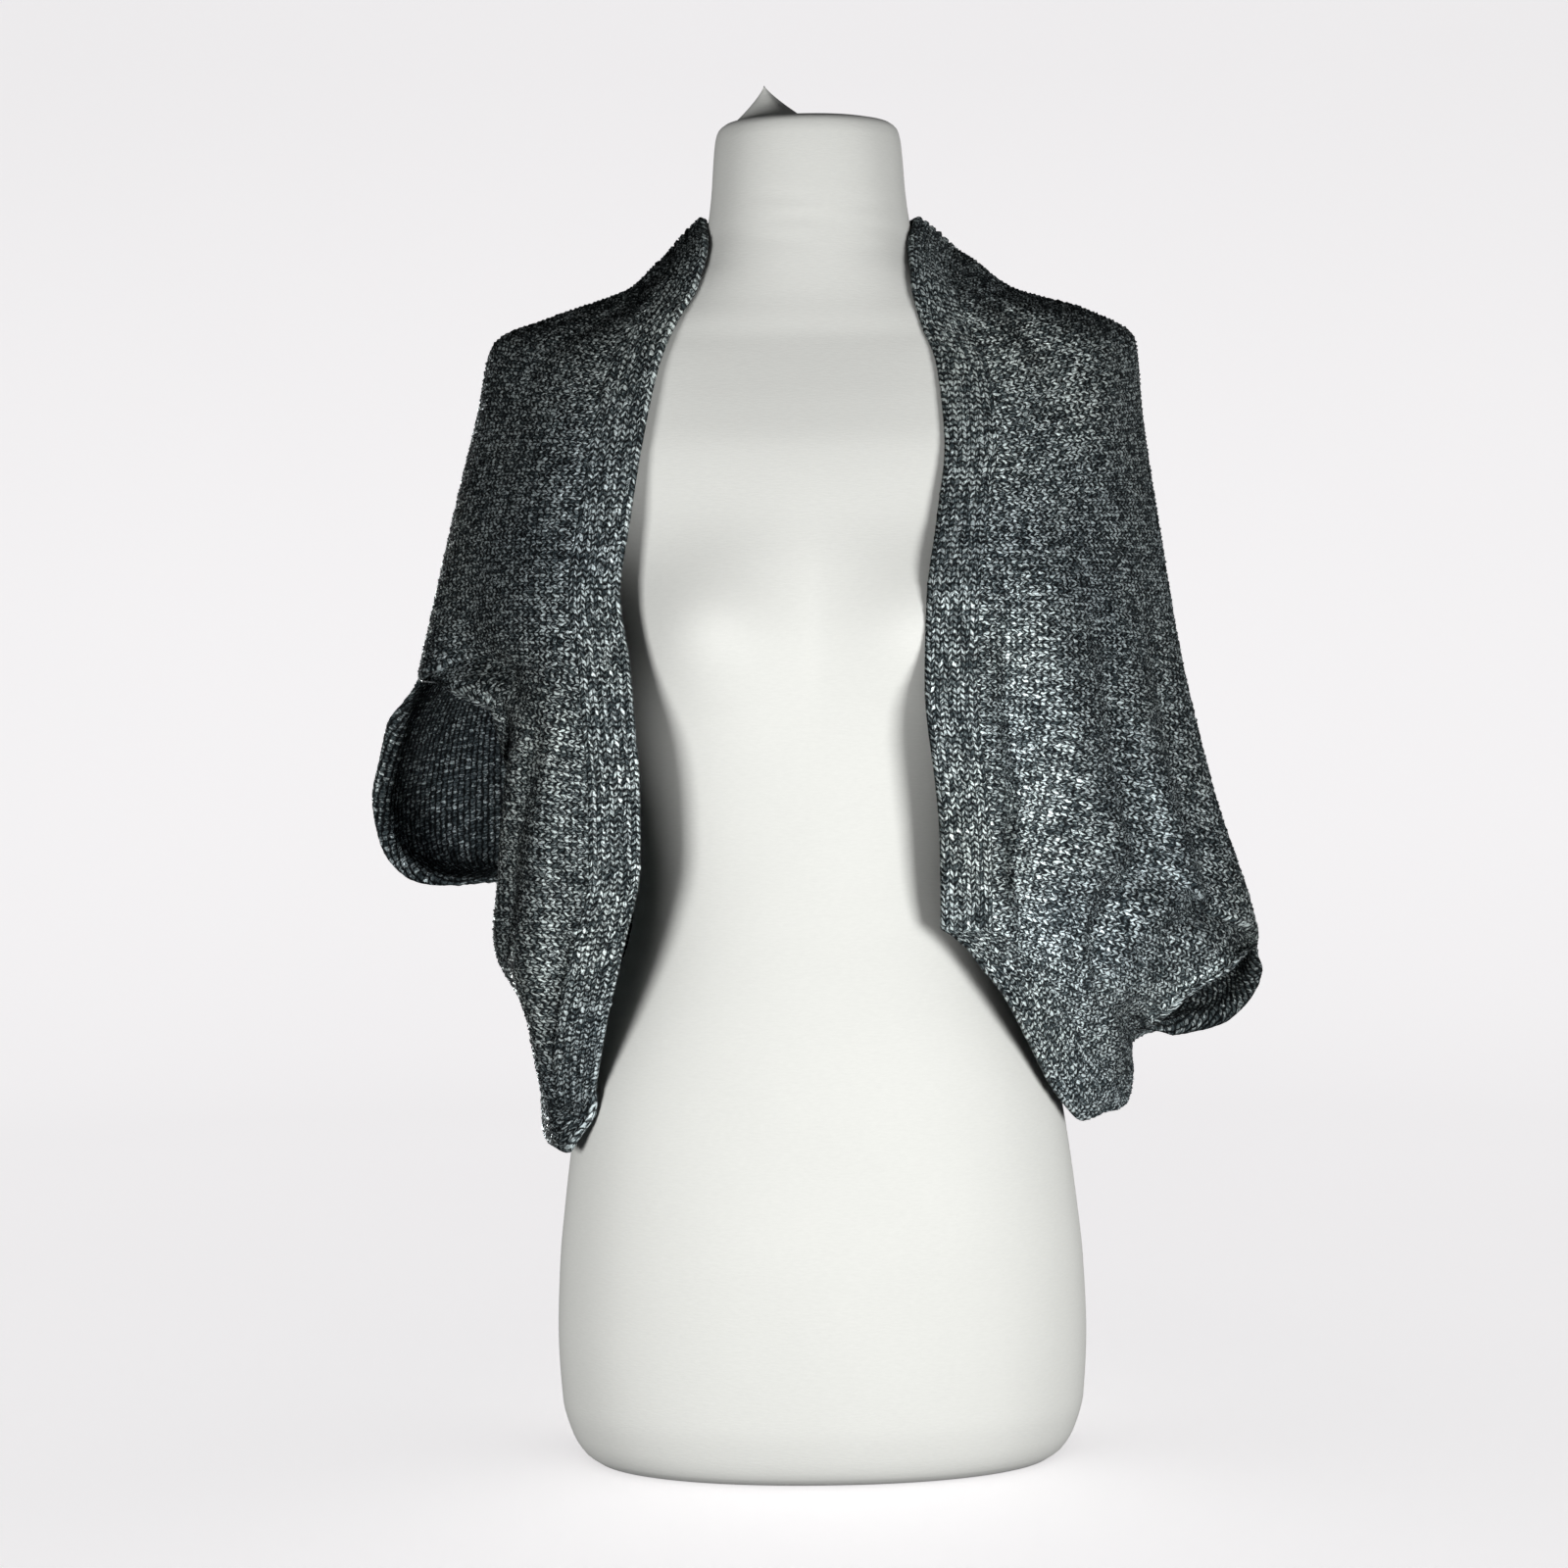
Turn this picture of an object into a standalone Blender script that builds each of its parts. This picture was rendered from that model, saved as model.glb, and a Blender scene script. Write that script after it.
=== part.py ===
"""Knitted open-front shrug cardigan on a limbless dress form.

Sizes are in millimetres, with +Z up and +Y to the back. "Right" and "left" are the wearer's: right is -X.
"""

import math

import bpy
import numpy as np

MM = 0.001

# Cloth
WALL = 2.6
SEAM_GAP = 0.5
SIDE_SEAM_GAP = 0.7
BAND_WIDTH = 29.0
BAND_RIBS = 5
RIB_RISE = 0.8
CUFF_ROLL = 2.6
CUFF_ROLL_WIDTH = 11.0

# How finely the cloth is divided
FIRST_ROW = 0.1
ROWS_BETWEEN = (2, 3, 3, 6, 6, 2, 3, 2)
FRONT_STEPS = 9
BACK_STEPS = 18

# The dress form, from the middle of its base
FORM_RING_POINTS = 32
FORM_SQUARENESS = 2.15
FORM_COLUMNS = ("height", "half_width", "front", "back")
FORM_SECTIONS = (
    (0.0, 133.0, 81.0, 88.0),
    (5.0, 140.0, 88.0, 95.0),
    (16.0, 147.0, 93.0, 101.0),
    (36.0, 152.5, 97.0, 106.0),
    (75.0, 154.5, 98.0, 109.0),
    (115.0, 153.0, 98.0, 111.0),
    (150.0, 149.5, 97.0, 111.0),
    (185.0, 145.0, 95.0, 107.0),
    (217.0, 139.5, 92.0, 97.0),
    (248.0, 130.0, 88.0, 88.0),
    (281.0, 117.5, 83.0, 78.0),
    (314.0, 108.0, 79.0, 72.0),
    (343.0, 105.5, 78.0, 71.0),
    (378.0, 110.0, 80.0, 75.0),
    (417.0, 119.5, 85.0, 82.0),
    (450.0, 128.0, 91.0, 88.0),
    (482.0, 135.0, 96.0, 92.0),
    (515.0, 144.0, 97.0, 95.0),
    (548.0, 162.0, 94.0, 98.0),
    (582.0, 180.0, 88.0, 97.0),
    (607.0, 184.5, 79.0, 91.0),
    (626.0, 184.0, 71.0, 84.0),
    (639.0, 178.0, 65.5, 77.5),
    (649.0, 160.0, 61.5, 73.0),
    (659.0, 135.0, 59.0, 69.0),
    (671.0, 104.0, 56.0, 64.0),
    (683.0, 83.0, 54.0, 60.0),
    (696.0, 68.0, 52.5, 57.0),
    (710.0, 60.5, 51.5, 54.0),
    (735.0, 56.5, 51.0, 51.5),
    (755.0, 55.0, 50.5, 50.0),
    (765.0, 54.0, 50.0, 49.5),
    (771.0, 52.5, 48.5, 48.0),
    (774.5, 49.0, 45.0, 45.0),
    (776.0, 43.0, 39.0, 39.0),
)
BUST = {"x": 66.0, "height": 480.0, "reach": 27.0, "spread_x": 46.0, "spread_z": 42.0}

# The front panels: where the opening's edge is, which way the band leaves it, the panel's crest and its side
FRONT_COLUMNS = (
    "edge_x", "edge_y", "edge_z", "out", "back", "up",
    "crest_x", "crest_y", "side_x", "side_y", "side_z",
)
RIGHT_FRONT = (
    (61.0, 0.0, 724.0, 0.69, 0.00, -0.72, 81.0, 0.0, 81.0, 0.0, 703.0),
    (59.0, -28.0, 705.0, 0.75, -0.10, -0.65, 87.0, -17.0, 91.0, 0.0, 692.5),
    (64.0, -44.0, 680.5, 0.90, 0.00, -0.40, 98.0, -25.0, 103.0, 0.0, 681.5),
    (76.5, -58.0, 656.5, 0.97, 0.08, -0.25, 127.0, -38.0, 146.0, 0.0, 666.0),
    (85.5, -68.0, 633.5, 0.99, 0.10, -0.13, 151.0, -46.0, 182.5, 0.0, 650.5),
    (95.0, -84.0, 588.5, 1.00, 0.12, -0.05, 163.5, -56.0, 193.0, 0.0, 607.0),
    (102.0, -92.0, 545.0, 1.00, 0.10, 0.00, 175.5, -62.0, 210.0, -3.0, 537.5),
    (108.0, -96.0, 501.5, 1.00, 0.05, 0.00, 186.0, -66.0, 227.5, -20.0, 457.0),
    (103.0, -98.0, 463.5, 1.00, 0.02, 0.00, 170.0, -80.0, 202.5, -52.0, 452.5),
    (100.5, -98.0, 425.5, 1.00, 0.00, 0.00, 162.0, -91.0, 178.0, -62.0, 445.5),
    (98.5, -95.0, 392.0, 1.00, 0.00, -0.02, 170.0, -82.0, 167.0, -38.0, 401.0),
    (99.0, -91.0, 350.0, 1.00, -0.04, -0.05, 177.0, -66.0, 157.5, -4.0, 345.5),
    (108.5, -83.0, 306.5, 1.00, -0.10, -0.08, 183.0, -56.0, 161.5, 4.0, 303.0),
    (119.5, -71.0, 262.5, 0.96, 0.08, -0.18, 169.5, -50.0, 159.5, 8.0, 256.0),
    (128.5, -54.0, 223.0, 0.72, 0.52, -0.45, 160.0, -16.0, 159.0, 10.0, 219.5),
)
LEFT_FRONT = (
    (62.5, 0.0, 722.5, 0.75, 0.00, -0.66, 84.5, 0.0, 84.5, 0.0, 703.0),
    (57.5, -31.0, 703.0, 0.75, -0.08, -0.65, 90.5, -18.0, 95.5, 0.0, 695.0),
    (57.5, -50.0, 678.5, 0.90, -0.03, -0.40, 106.0, -30.0, 116.5, 0.0, 679.0),
    (62.0, -59.0, 655.0, 0.97, 0.00, -0.22, 135.0, -43.0, 161.0, 0.0, 665.0),
    (70.0, -69.0, 631.5, 0.99, 0.05, -0.10, 156.0, -50.0, 187.5, 0.0, 648.0),
    (73.5, -86.0, 586.0, 1.00, 0.08, 0.00, 160.0, -61.0, 191.0, 0.0, 605.5),
    (68.0, -98.0, 542.5, 1.00, 0.06, 0.00, 160.0, -70.0, 200.5, -2.0, 536.5),
    (61.5, -115.0, 498.5, 1.00, 0.08, 0.00, 159.5, -82.0, 211.0, -3.0, 464.5),
    (60.0, -115.0, 447.0, 1.00, 0.06, -0.05, 166.0, -88.0, 228.5, -4.0, 384.5),
    (65.5, -108.0, 395.0, 1.00, 0.03, -0.08, 176.0, -88.0, 256.0, -3.0, 301.0),
    (67.5, -104.0, 371.5, 1.00, 0.02, -0.08, 166.0, -91.0, 232.5, -45.0, 289.0),
    (68.0, -99.0, 349.5, 1.00, 0.02, -0.08, 156.0, -88.0, 203.5, -48.0, 271.5),
    (68.0, -93.0, 330.0, 1.00, 0.02, -0.08, 152.0, -72.0, 182.0, 5.0, 239.0),
    (68.0, -86.0, 313.0, 1.00, 0.05, -0.04, 140.0, -62.0, 184.0, 15.0, 222.0),
)
CUFF_ROWS = {"right": (7, 11), "left": (9, 12)}

# The back edge of each cuff, from the top of the cuff to the underarm
CUFF_COLUMNS = ("along", "x", "y", "z")
RIGHT_CUFF_BACK = (
    (0.00, 227.5, -20.0, 457.0),
    (0.20, 241.5, 6.0, 432.0),
    (0.38, 249.5, 20.0, 407.0),
    (0.52, 255.0, 28.0, 384.0),
    (0.66, 251.5, 34.0, 361.0),
    (0.78, 235.0, 36.0, 344.0),
    (0.88, 211.0, 31.0, 338.0),
    (0.95, 184.0, 16.0, 339.0),
    (1.00, 157.5, -4.0, 345.5),
)
LEFT_CUFF_BACK = (
    (0.00, 256.0, -3.0, 301.0),
    (0.26, 255.0, 22.0, 273.0),
    (0.47, 243.0, 36.0, 256.0),
    (0.65, 222.5, 38.0, 250.0),
    (0.84, 201.0, 28.0, 247.5),
    (1.00, 182.0, 5.0, 239.0),
)

# The back, a row for each section, with the rows of the front panels that it meets at the sides
BACK_COLUMNS = (
    "right_row", "left_row", "right_crest_x", "right_crest_y",
    "centre_y", "centre_z", "left_crest_x", "left_crest_y",
)
BACK_SECTIONS = (
    (0.0, 0.0, 60.5, 46.0, 68.0, 699.0, 64.0, 46.0),
    (2.0, 2.0, 80.5, 52.0, 75.0, 676.5, 87.0, 52.0),
    (4.0, 4.0, 146.0, 55.0, 87.0, 637.5, 153.0, 55.0),
    (5.0, 5.0, 150.0, 72.0, 103.0, 593.0, 153.0, 72.0),
    (7.0, 7.0, 164.5, 86.0, 111.0, 463.5, 161.5, 84.0),
    (11.0, 8.5, 183.5, 94.0, 112.0, 345.0, 169.5, 86.0),
    (12.0, 9.0, 132.5, 92.0, 113.0, 301.0, 197.5, 76.0),
    (13.0, 12.0, 130.0, 86.0, 117.0, 245.0, 151.5, 82.0),
    (14.0, 13.0, 131.0, 86.0, 119.0, 215.0, 151.5, 80.0),
)
NECK_EDGE = {"half_width": 62.0, "back": 58.0, "side_z": 722.5, "back_z": 726.0}

# The hem band, from its seam to its edge, at places along each front panel (0 at the opening, 1 at the side)
HEM_COLUMNS = ("along", "out", "back", "up")
RIGHT_HEM = (
    (0.0, -21.0, -15.0, 13.0),
    (0.3, -11.0, -17.0, -27.0),
    (0.65, -3.0, -6.0, -30.0),
    (1.0, 2.0, 2.0, -29.0),
)
LEFT_HEM = (
    (0.0, -29.0, -1.4, 1.2),
    (0.3, -24.0, -2.0, -16.0),
    (0.65, -13.0, -2.0, -26.0),
    (1.0, -3.0, 1.0, -29.0),
)

# Soft folds of the panels: place across (0 at the band, 1 at the side), rows, width and height
FOLD_COLUMNS = ("across", "first_row", "last_row", "width", "height")
RIGHT_FOLDS = (
    (0.60, 4.5, 8.0, 0.16, -5.0),
    (0.38, 9.0, 13.6, 0.12, -4.5),
    (0.20, 8.0, 13.4, 0.12, 3.0),
)
LEFT_FOLDS = (
    (0.06, 6.0, 12.0, 0.06, -2.0),
    (0.30, 6.0, 13.5, 0.14, 6.0),
    (0.52, 6.5, 13.0, 0.12, -7.0),
    (0.76, 6.0, 11.0, 0.14, 3.0),
)
BACK_FOLDS = (
    (0.22, 3.0, 9.0, 0.07, -5.0),
    (0.36, 4.0, 9.5, 0.06, 4.0),
    (0.60, 3.5, 9.5, 0.07, 5.0),
    (0.77, 3.0, 9.0, 0.06, -5.0),
)

# The point of the form's cover that stands up at the top of the neck
PEAK = {"x": -21.0, "y": -10.0, "half_width": 22.5, "half_depth": 11.0, "tip_x": -25.0, "tip_y": -12.0}
PEAK_BASE = 776.4
PEAK_TIP = 797.0
PEAK_WALL = 1.2
PEAK_POINTS = 20
PEAK_RINGS = 5


def table(columns, rows):
    """The rows of a table as one array for each named column."""
    return dict(zip(columns, np.array(rows, float).T))


def smooth_through(at, known, values):
    """A curve through the known values that never overshoots them."""
    known = np.asarray(known, float)
    values = np.asarray(values, float)
    steps = np.diff(known)
    slopes = np.diff(values) / steps
    same_way = slopes[:-1] * slopes[1:] > 0
    total = np.where(same_way, slopes[:-1] + slopes[1:], 1)
    middle = np.where(same_way, 2 * slopes[:-1] * slopes[1:] / total, 0)
    tangents = np.concatenate([slopes[:1], middle, slopes[-1:]])
    i = np.clip(np.searchsorted(known, at) - 1, 0, len(steps) - 1)
    t = np.clip((at - known[i]) / steps[i], 0, 1)
    start = (1 + 2 * t) * (1 - t) ** 2 * values[i] + t * (1 - t) ** 2 * steps[i] * tangents[i]
    end = t * t * (3 - 2 * t) * values[i + 1] - t * t * (1 - t) * steps[i] * tangents[i + 1]
    return start + end


def unit(way):
    """The same direction with a length of one."""
    return way / (np.linalg.norm(way, axis=-1, keepdims=True) + 1e-12)


FORM = table(FORM_COLUMNS, FORM_SECTIONS)
FRONTS = {"right": table(FRONT_COLUMNS, RIGHT_FRONT), "left": table(FRONT_COLUMNS, LEFT_FRONT)}
CUFF_BACKS = {"right": table(CUFF_COLUMNS, RIGHT_CUFF_BACK), "left": table(CUFF_COLUMNS, LEFT_CUFF_BACK)}
BACK = table(BACK_COLUMNS, BACK_SECTIONS)
HEMS = {"right": table(HEM_COLUMNS, RIGHT_HEM), "left": table(HEM_COLUMNS, LEFT_HEM)}
FOLDS = {"right": RIGHT_FOLDS, "left": LEFT_FOLDS, "back": BACK_FOLDS}
SIGNS = {"right": -1.0, "left": 1.0}


def front_value(side, names, row):
    """Columns of a front panel's table at any row, as a point."""
    values = FRONTS[side]
    rows = np.arange(len(values["edge_x"]))
    return np.array([smooth_through(row, rows, values[name]) for name in names])


def back_value(name, place):
    """A column of the back's table at any place between its rows."""
    return float(smooth_through(place, np.arange(len(BACK_SECTIONS)), BACK[name]))


def side_row(side, place):
    """The front panel's row that meets the back at this place."""
    return float(np.interp(place, np.arange(len(BACK_SECTIONS)), BACK[side + "_row"]))


def back_crest(side, place):
    """The back's crest on one side, with x outward."""
    x = back_value(side + "_crest_x", place)
    y = back_value(side + "_crest_y", place)
    return np.array([x, y])


def is_cuff(side, row):
    """Whether this row ends at the open cuff."""
    first, last = CUFF_ROWS[side]
    return first + 1e-6 < row < last - 1e-6


def curve_through(points, start_way, end_way, count):
    """Evenly spaced points of a smooth curve through a few points."""
    points = np.asarray(points, float)
    spans = np.linalg.norm(np.diff(points, axis=0), axis=1)
    if spans.sum() < 1e-6:
        return np.repeat(points[:1], count + 1, axis=0)
    knots = np.concatenate([[0], np.cumsum(spans)])
    ways = np.zeros_like(points)
    ways[1:-1] = (points[2:] - points[:-2]) / (knots[2:] - knots[:-2])[:, None]
    ways[0] = start_way
    ways[-1] = end_way
    at = np.linspace(0, knots[-1], 200)
    i = np.clip(np.searchsorted(knots, at) - 1, 0, len(spans) - 1)
    t = ((at - knots[i]) / spans[i])[:, None]
    span = spans[i][:, None]
    dense = (1 + 2 * t) * (1 - t) ** 2 * points[i] + t * (1 - t) ** 2 * span * ways[i]
    dense += t * t * (3 - 2 * t) * points[i + 1] - t * t * (1 - t) * span * ways[i + 1]
    run = np.concatenate([[0], np.cumsum(np.linalg.norm(np.diff(dense, axis=0), axis=1))])
    wanted = np.linspace(0, run[-1], count + 1)
    return np.stack([np.interp(wanted, run, dense[:, k]) for k in range(3)], axis=1)


def with_height(points):
    """Gives the inner points of a row their heights, in step with the distance along it."""
    points = np.asarray(points, float)
    spans = np.linalg.norm(np.diff(points[:, :2], axis=0), axis=1)
    along = np.concatenate([[0], np.cumsum(spans)]) / max(spans.sum(), 1e-9)
    points[:, 2] = points[0, 2] + along * (points[-1, 2] - points[0, 2])
    return points


def fold_height(name, across, row):
    """How far the folds of one panel stand out at each place across a row."""
    total = np.zeros_like(across)
    for middle, first, last, width, height in FOLDS[name]:
        level = np.clip((row - first) / (last - first), 0, 1)
        total += height * math.sin(math.pi * level) ** 2 * np.exp(-(((across - middle) / width) ** 2))
    return total * np.clip(across * 12, 0, 1) * np.clip((1 - across) * 8, 0, 1)


def outward(points):
    """The level direction away from the form's middle."""
    way = points * np.array([0.55, 1.0, 0.0])
    return unit(way)


def band_edge(side, row):
    """A point of the opening's edge, the band's direction there and its seam point."""
    edge = front_value(side, ("edge_x", "edge_y", "edge_z"), row)
    way = unit(front_value(side, ("out", "back", "up"), row))
    return edge, way, edge + way * BAND_WIDTH


def front_row(side, row, place, count):
    """One row of a front panel, from the band's seam to the side, with x outward."""
    _, way, seam = band_edge(side, row)
    crest = front_value(side, ("crest_x", "crest_y", "side_z"), row)
    end = front_value(side, ("side_x", "side_y", "side_z"), row)
    points = with_height([seam, crest, end])
    arrive = np.append(back_crest(side, place) - crest[:2], 0.0)
    if is_cuff(side, row):
        arrive = end - points[1]
    curve = curve_through(points, way, unit(arrive), count)
    across = np.linspace(0, 1, count + 1)
    return curve + outward(curve) * fold_height(side, across, row)[:, None]


def side_point(side, row, at_back):
    """The end of a row at the side seam, or on the front or back edge of the cuff."""
    if at_back and is_cuff(side, row):
        first, last = CUFF_ROWS[side]
        cuff = CUFF_BACKS[side]
        along = (row - first) / (last - first)
        return np.array([float(smooth_through(along, cuff["along"], cuff[k])) for k in "xyz"])
    if row < 1e-6:
        return band_edge(side, 0.0)[2]
    return front_value(side, ("side_x", "side_y", "side_z"), row)


def back_row(place, count):
    """One row of the back, from the wearer's right side to the left."""
    halves = []
    centre = np.array([0.0, back_value("centre_y", place), back_value("centre_z", place)])
    for side in ("right", "left"):
        row = side_row(side, place)
        end = side_point(side, row, True)
        crest = np.append(back_crest(side, place), 0.0)
        points = with_height([end, crest, centre])
        front_crest = front_value(side, ("crest_x", "crest_y"), row)
        leave = np.append(crest[:2] - front_crest, 0.0)
        if is_cuff(side, row):
            leave = points[1] - end
        elif row < 1e-6:
            leave = np.array([0.0, 1.0, 0.0])
        halves.append(curve_through(points, unit(leave), np.array([-1.0, 0.0, 0.0]), count // 2))
    sign = np.array([-1.0, 1.0, 1.0])
    whole = np.concatenate([halves[0] * sign, halves[1][-2::-1]])
    across = np.linspace(0, 1, count + 1)
    return whole + outward(whole) * fold_height("back", across, place)[:, None]


def row_places():
    """Places between the back's sections at which every panel has a row."""
    places = [0.0, FIRST_ROW]
    for section, steps in enumerate(ROWS_BETWEEN):
        places.extend(section + (k + 1) / steps for k in range(steps))
    return places


def front_panel(side):
    """Grid of a front panel's points, and of the band beside it, in the shared frame."""
    sign = np.array([SIGNS[side], 1.0, 1.0])
    panel = []
    band = []
    for place in row_places():
        row = side_row(side, place)
        edge, _, seam = band_edge(side, row)
        panel.append(front_row(side, row, place, FRONT_STEPS) * sign)
        band.append([edge * sign, seam * sign])
    return np.array(panel), np.array(band)


def neck_ring(count):
    """The opening's edge around the back of the neck, from right to left."""
    turn = np.linspace(math.pi, 0, count + 1)
    x = NECK_EDGE["half_width"] * np.cos(turn)
    y = NECK_EDGE["back"] * np.sin(turn)
    rise = NECK_EDGE["back_z"] - NECK_EDGE["side_z"]
    z = NECK_EDGE["side_z"] + rise * np.sin(turn) ** 2
    return np.stack([x, y, z], axis=1)


def hem_edge(side, seam, start):
    """The hem's edge below the last row of a front panel, from where the front band ends."""
    along = np.linspace(0, 1, len(seam))
    hem = HEMS[side]
    reach = [smooth_through(along, hem["along"], hem[name]) for name in ("out", "back", "up")]
    edge = seam + np.stack(reach, axis=1) * np.array([SIGNS[side], 1.0, 1.0])
    return edge + (start - edge[0]) * np.clip(1 - 3 * along, 0, 1)[:, None]


def make_cloth():
    """Every cloth piece's middle surface: the panels, and each band from its edge to its seam."""
    right, right_band = front_panel("right")
    left, left_band = front_panel("left")
    back = np.array([back_row(place, BACK_STEPS) for place in row_places()])
    neck = np.stack([neck_ring(BACK_STEPS), back[0]], axis=1)
    opening = np.concatenate([right_band[::-1], neck[1:-1], left_band])
    right_edge = hem_edge("right", right[-1], right_band[-1, 0])
    left_edge = hem_edge("left", left[-1], left_band[-1, 0])
    back_edge = back[-1] + np.array([0.0, 0.0, -BAND_WIDTH])
    share = np.linspace(0, 1, BACK_STEPS + 1)[:, None]
    right_gap = right_edge[-1] - back_edge[0]
    left_gap = left_edge[-1] - back_edge[-1]
    back_edge = back_edge + right_gap * np.clip(1 - 4 * share, 0, 1) + left_gap * np.clip(4 * share - 3, 0, 1)
    edge = np.concatenate([right_edge, back_edge[1:-1], left_edge[::-1]])
    seam = np.concatenate([right[-1], back[-1][1:-1], left[-1][::-1]])
    hem = np.stack([edge, seam], axis=1)
    cloth = {"right_front": right[1:], "left_front": left[1:], "back": back}
    return {**cloth, "opening": opening, "hem": hem}


def spread_band(strip, steps):
    """Divides a band across its width."""
    share = np.linspace(0, 1, steps + 1)[None, :, None]
    return strip[:, :1] * (1 - share) + strip[:, 1:] * share


def point_key(point):
    """A point rounded so that pieces meeting there find the same one."""
    return tuple(np.round(point, 3))


def shared_normals(grids):
    """Outward normals at every point, shared by all pieces that meet there."""
    total = {}
    for grid, flip in grids:
        a = grid[1:, 1:] - grid[:-1, :-1]
        b = grid[1:, :-1] - grid[:-1, 1:]
        face = np.cross(a, b) * flip
        for i in range(face.shape[0]):
            for j in range(face.shape[1]):
                for di, dj in ((0, 0), (0, 1), (1, 0), (1, 1)):
                    key = point_key(grid[i + di, j + dj])
                    total[key] = total.get(key, 0) + face[i, j]
    return total


def normals_of(grid, total):
    """The shared normals of one grid."""
    found = [[unit(total[point_key(p)]) for p in line] for line in grid]
    return np.array(found)


def inset(grid, normals, ends, flip):
    """Draws each named edge of a grid back by half its seam gap, square to the edge."""
    moved = grid.copy()
    borders = {
        "first_line": (slice(0, 1), slice(None), 1, flip),
        "last_line": (slice(-1, None), slice(None), 1, -flip),
        "first_point": (slice(None), slice(0, 1), 0, -flip),
        "last_point": (slice(None), slice(-1, None), 0, flip),
    }
    for end, gap in ends.items():
        lines, points, axis, facing = borders[end]
        along = unit(np.gradient(grid[lines, points], axis=axis))
        square = unit(np.cross(normals[lines, points], along))
        moved[lines, points] += square * facing * gap / 2
    return moved


def wall(outer, inner, flip):
    """Points and faces of the closed wall between two grids of the same size."""
    lines, points = outer.shape[:2]
    index = {}
    made = []

    def number(layer, i, j):
        point = (outer, inner)[layer][i, j]
        key = (layer,) + point_key(point)
        if key not in index:
            index[key] = len(made)
            made.append(point)
        return index[key]

    faces = []
    for i in range(lines - 1):
        for j in range(points - 1):
            corners = ((i, j), (i, j + 1), (i + 1, j + 1), (i + 1, j))
            faces.append([number(0, *c) for c in corners])
            faces.append([number(1, *c) for c in corners[::-1]])
    rim = [(0, j) for j in range(points)]
    rim += [(i, points - 1) for i in range(1, lines)]
    rim += [(lines - 1, j) for j in range(points - 2, -1, -1)]
    rim += [(i, 0) for i in range(lines - 2, -1, -1)]
    for a, b in zip(rim[:-1], rim[1:]):
        faces.append([number(0, *b), number(0, *a), number(1, *a), number(1, *b)])
    clean = []
    for face in faces:
        kept = [v for k, v in enumerate(face) if v != face[k - 1]]
        if len(set(kept)) > 2:
            clean.append(kept[::-1] if flip < 0 else kept)
    return np.array(made), clean


def add_object(name, points, faces, material):
    """A named mesh object from points in millimetres."""
    mesh = bpy.data.meshes.new(name)
    mesh.from_pydata([tuple(p) for p in np.asarray(points) * MM], [], faces)
    mesh.update()
    mesh.materials.append(material)
    mesh.shade_smooth()
    mesh.set_sharp_from_angle(angle=math.radians(50))
    made = bpy.data.objects.new(name, mesh)
    bpy.context.scene.collection.objects.link(made)
    return made


def plain_material(name, colour, roughness):
    """A Principled BSDF of one colour."""
    made = bpy.data.materials.new(name)
    made.use_nodes = True
    shader = made.node_tree.nodes["Principled BSDF"]
    shader.inputs["Base Color"].default_value = (*colour, 1)
    shader.inputs["Roughness"].default_value = roughness
    return made


def cuff_roll(name, grid):
    """How far each point near a cuff's open edge rolls outward."""
    roll = np.zeros(grid.shape[:2])
    sides = {"right_front": ("right", -1), "left_front": ("left", -1)}
    ends = [sides[name]] if name in sides else [("right", 0), ("left", -1)]
    places = row_places()[-len(grid):]
    for i, place in enumerate(places):
        for side, end in ends:
            if is_cuff(side, side_row(side, place)):
                away = np.linalg.norm(grid[i] - grid[i, end], axis=1)
                roll[i] += CUFF_ROLL * np.exp(-((away / CUFF_ROLL_WIDTH) ** 2))
    return roll


def make_panel(name, grid, flip, total, ends, material):
    """A panel's wall, half its thickness to each side of the middle surface."""
    normals = normals_of(grid, total)
    drawn_in = inset(grid, normals, ends, flip) + normals * cuff_roll(name, grid)[..., None]
    points, faces = wall(drawn_in + normals * WALL / 2, drawn_in - normals * WALL / 2, flip)
    return add_object(name, points, faces, material)


def make_band(name, strip, flip, total, ends, material):
    """A ribbed band: raised ribs along its outside over a plain inside."""
    steps = 2 * BAND_RIBS
    fine = spread_band(strip, steps)
    ends_normals = normals_of(strip, total)
    normals = unit(spread_band(ends_normals, steps))
    drawn_in = inset(fine, normals, ends, flip)
    rib = np.array([RIB_RISE * (k % 2) for k in range(steps + 1)])[None, :, None]
    points, faces = wall(drawn_in + normals * (WALL / 2 + rib), drawn_in - normals * WALL / 2, flip)
    return add_object(name, points, faces, material)


def bust_reach(x, z):
    """How much further forward the bust is than the plain section."""
    side = np.exp(-(((np.abs(x) - BUST["x"]) / BUST["spread_x"]) ** 2))
    level = math.exp(-(((z - BUST["height"]) / BUST["spread_z"]) ** 2))
    return BUST["reach"] * side * level


def form_ring(height, count):
    """Points of one level section of the form."""
    turn = 2 * math.pi * np.arange(count) / count
    power = 2 / FORM_SQUARENESS
    x = np.sign(np.cos(turn)) * np.abs(np.cos(turn)) ** power
    y = np.sign(np.sin(turn)) * np.abs(np.sin(turn)) ** power
    x = x * smooth_through(height, FORM["height"], FORM["half_width"])
    front = smooth_through(height, FORM["height"], FORM["front"]) + bust_reach(x, height)
    back = smooth_through(height, FORM["height"], FORM["back"])
    return np.stack([x, y * np.where(y < 0, front, back), np.full(count, float(height))], axis=1)


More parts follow.
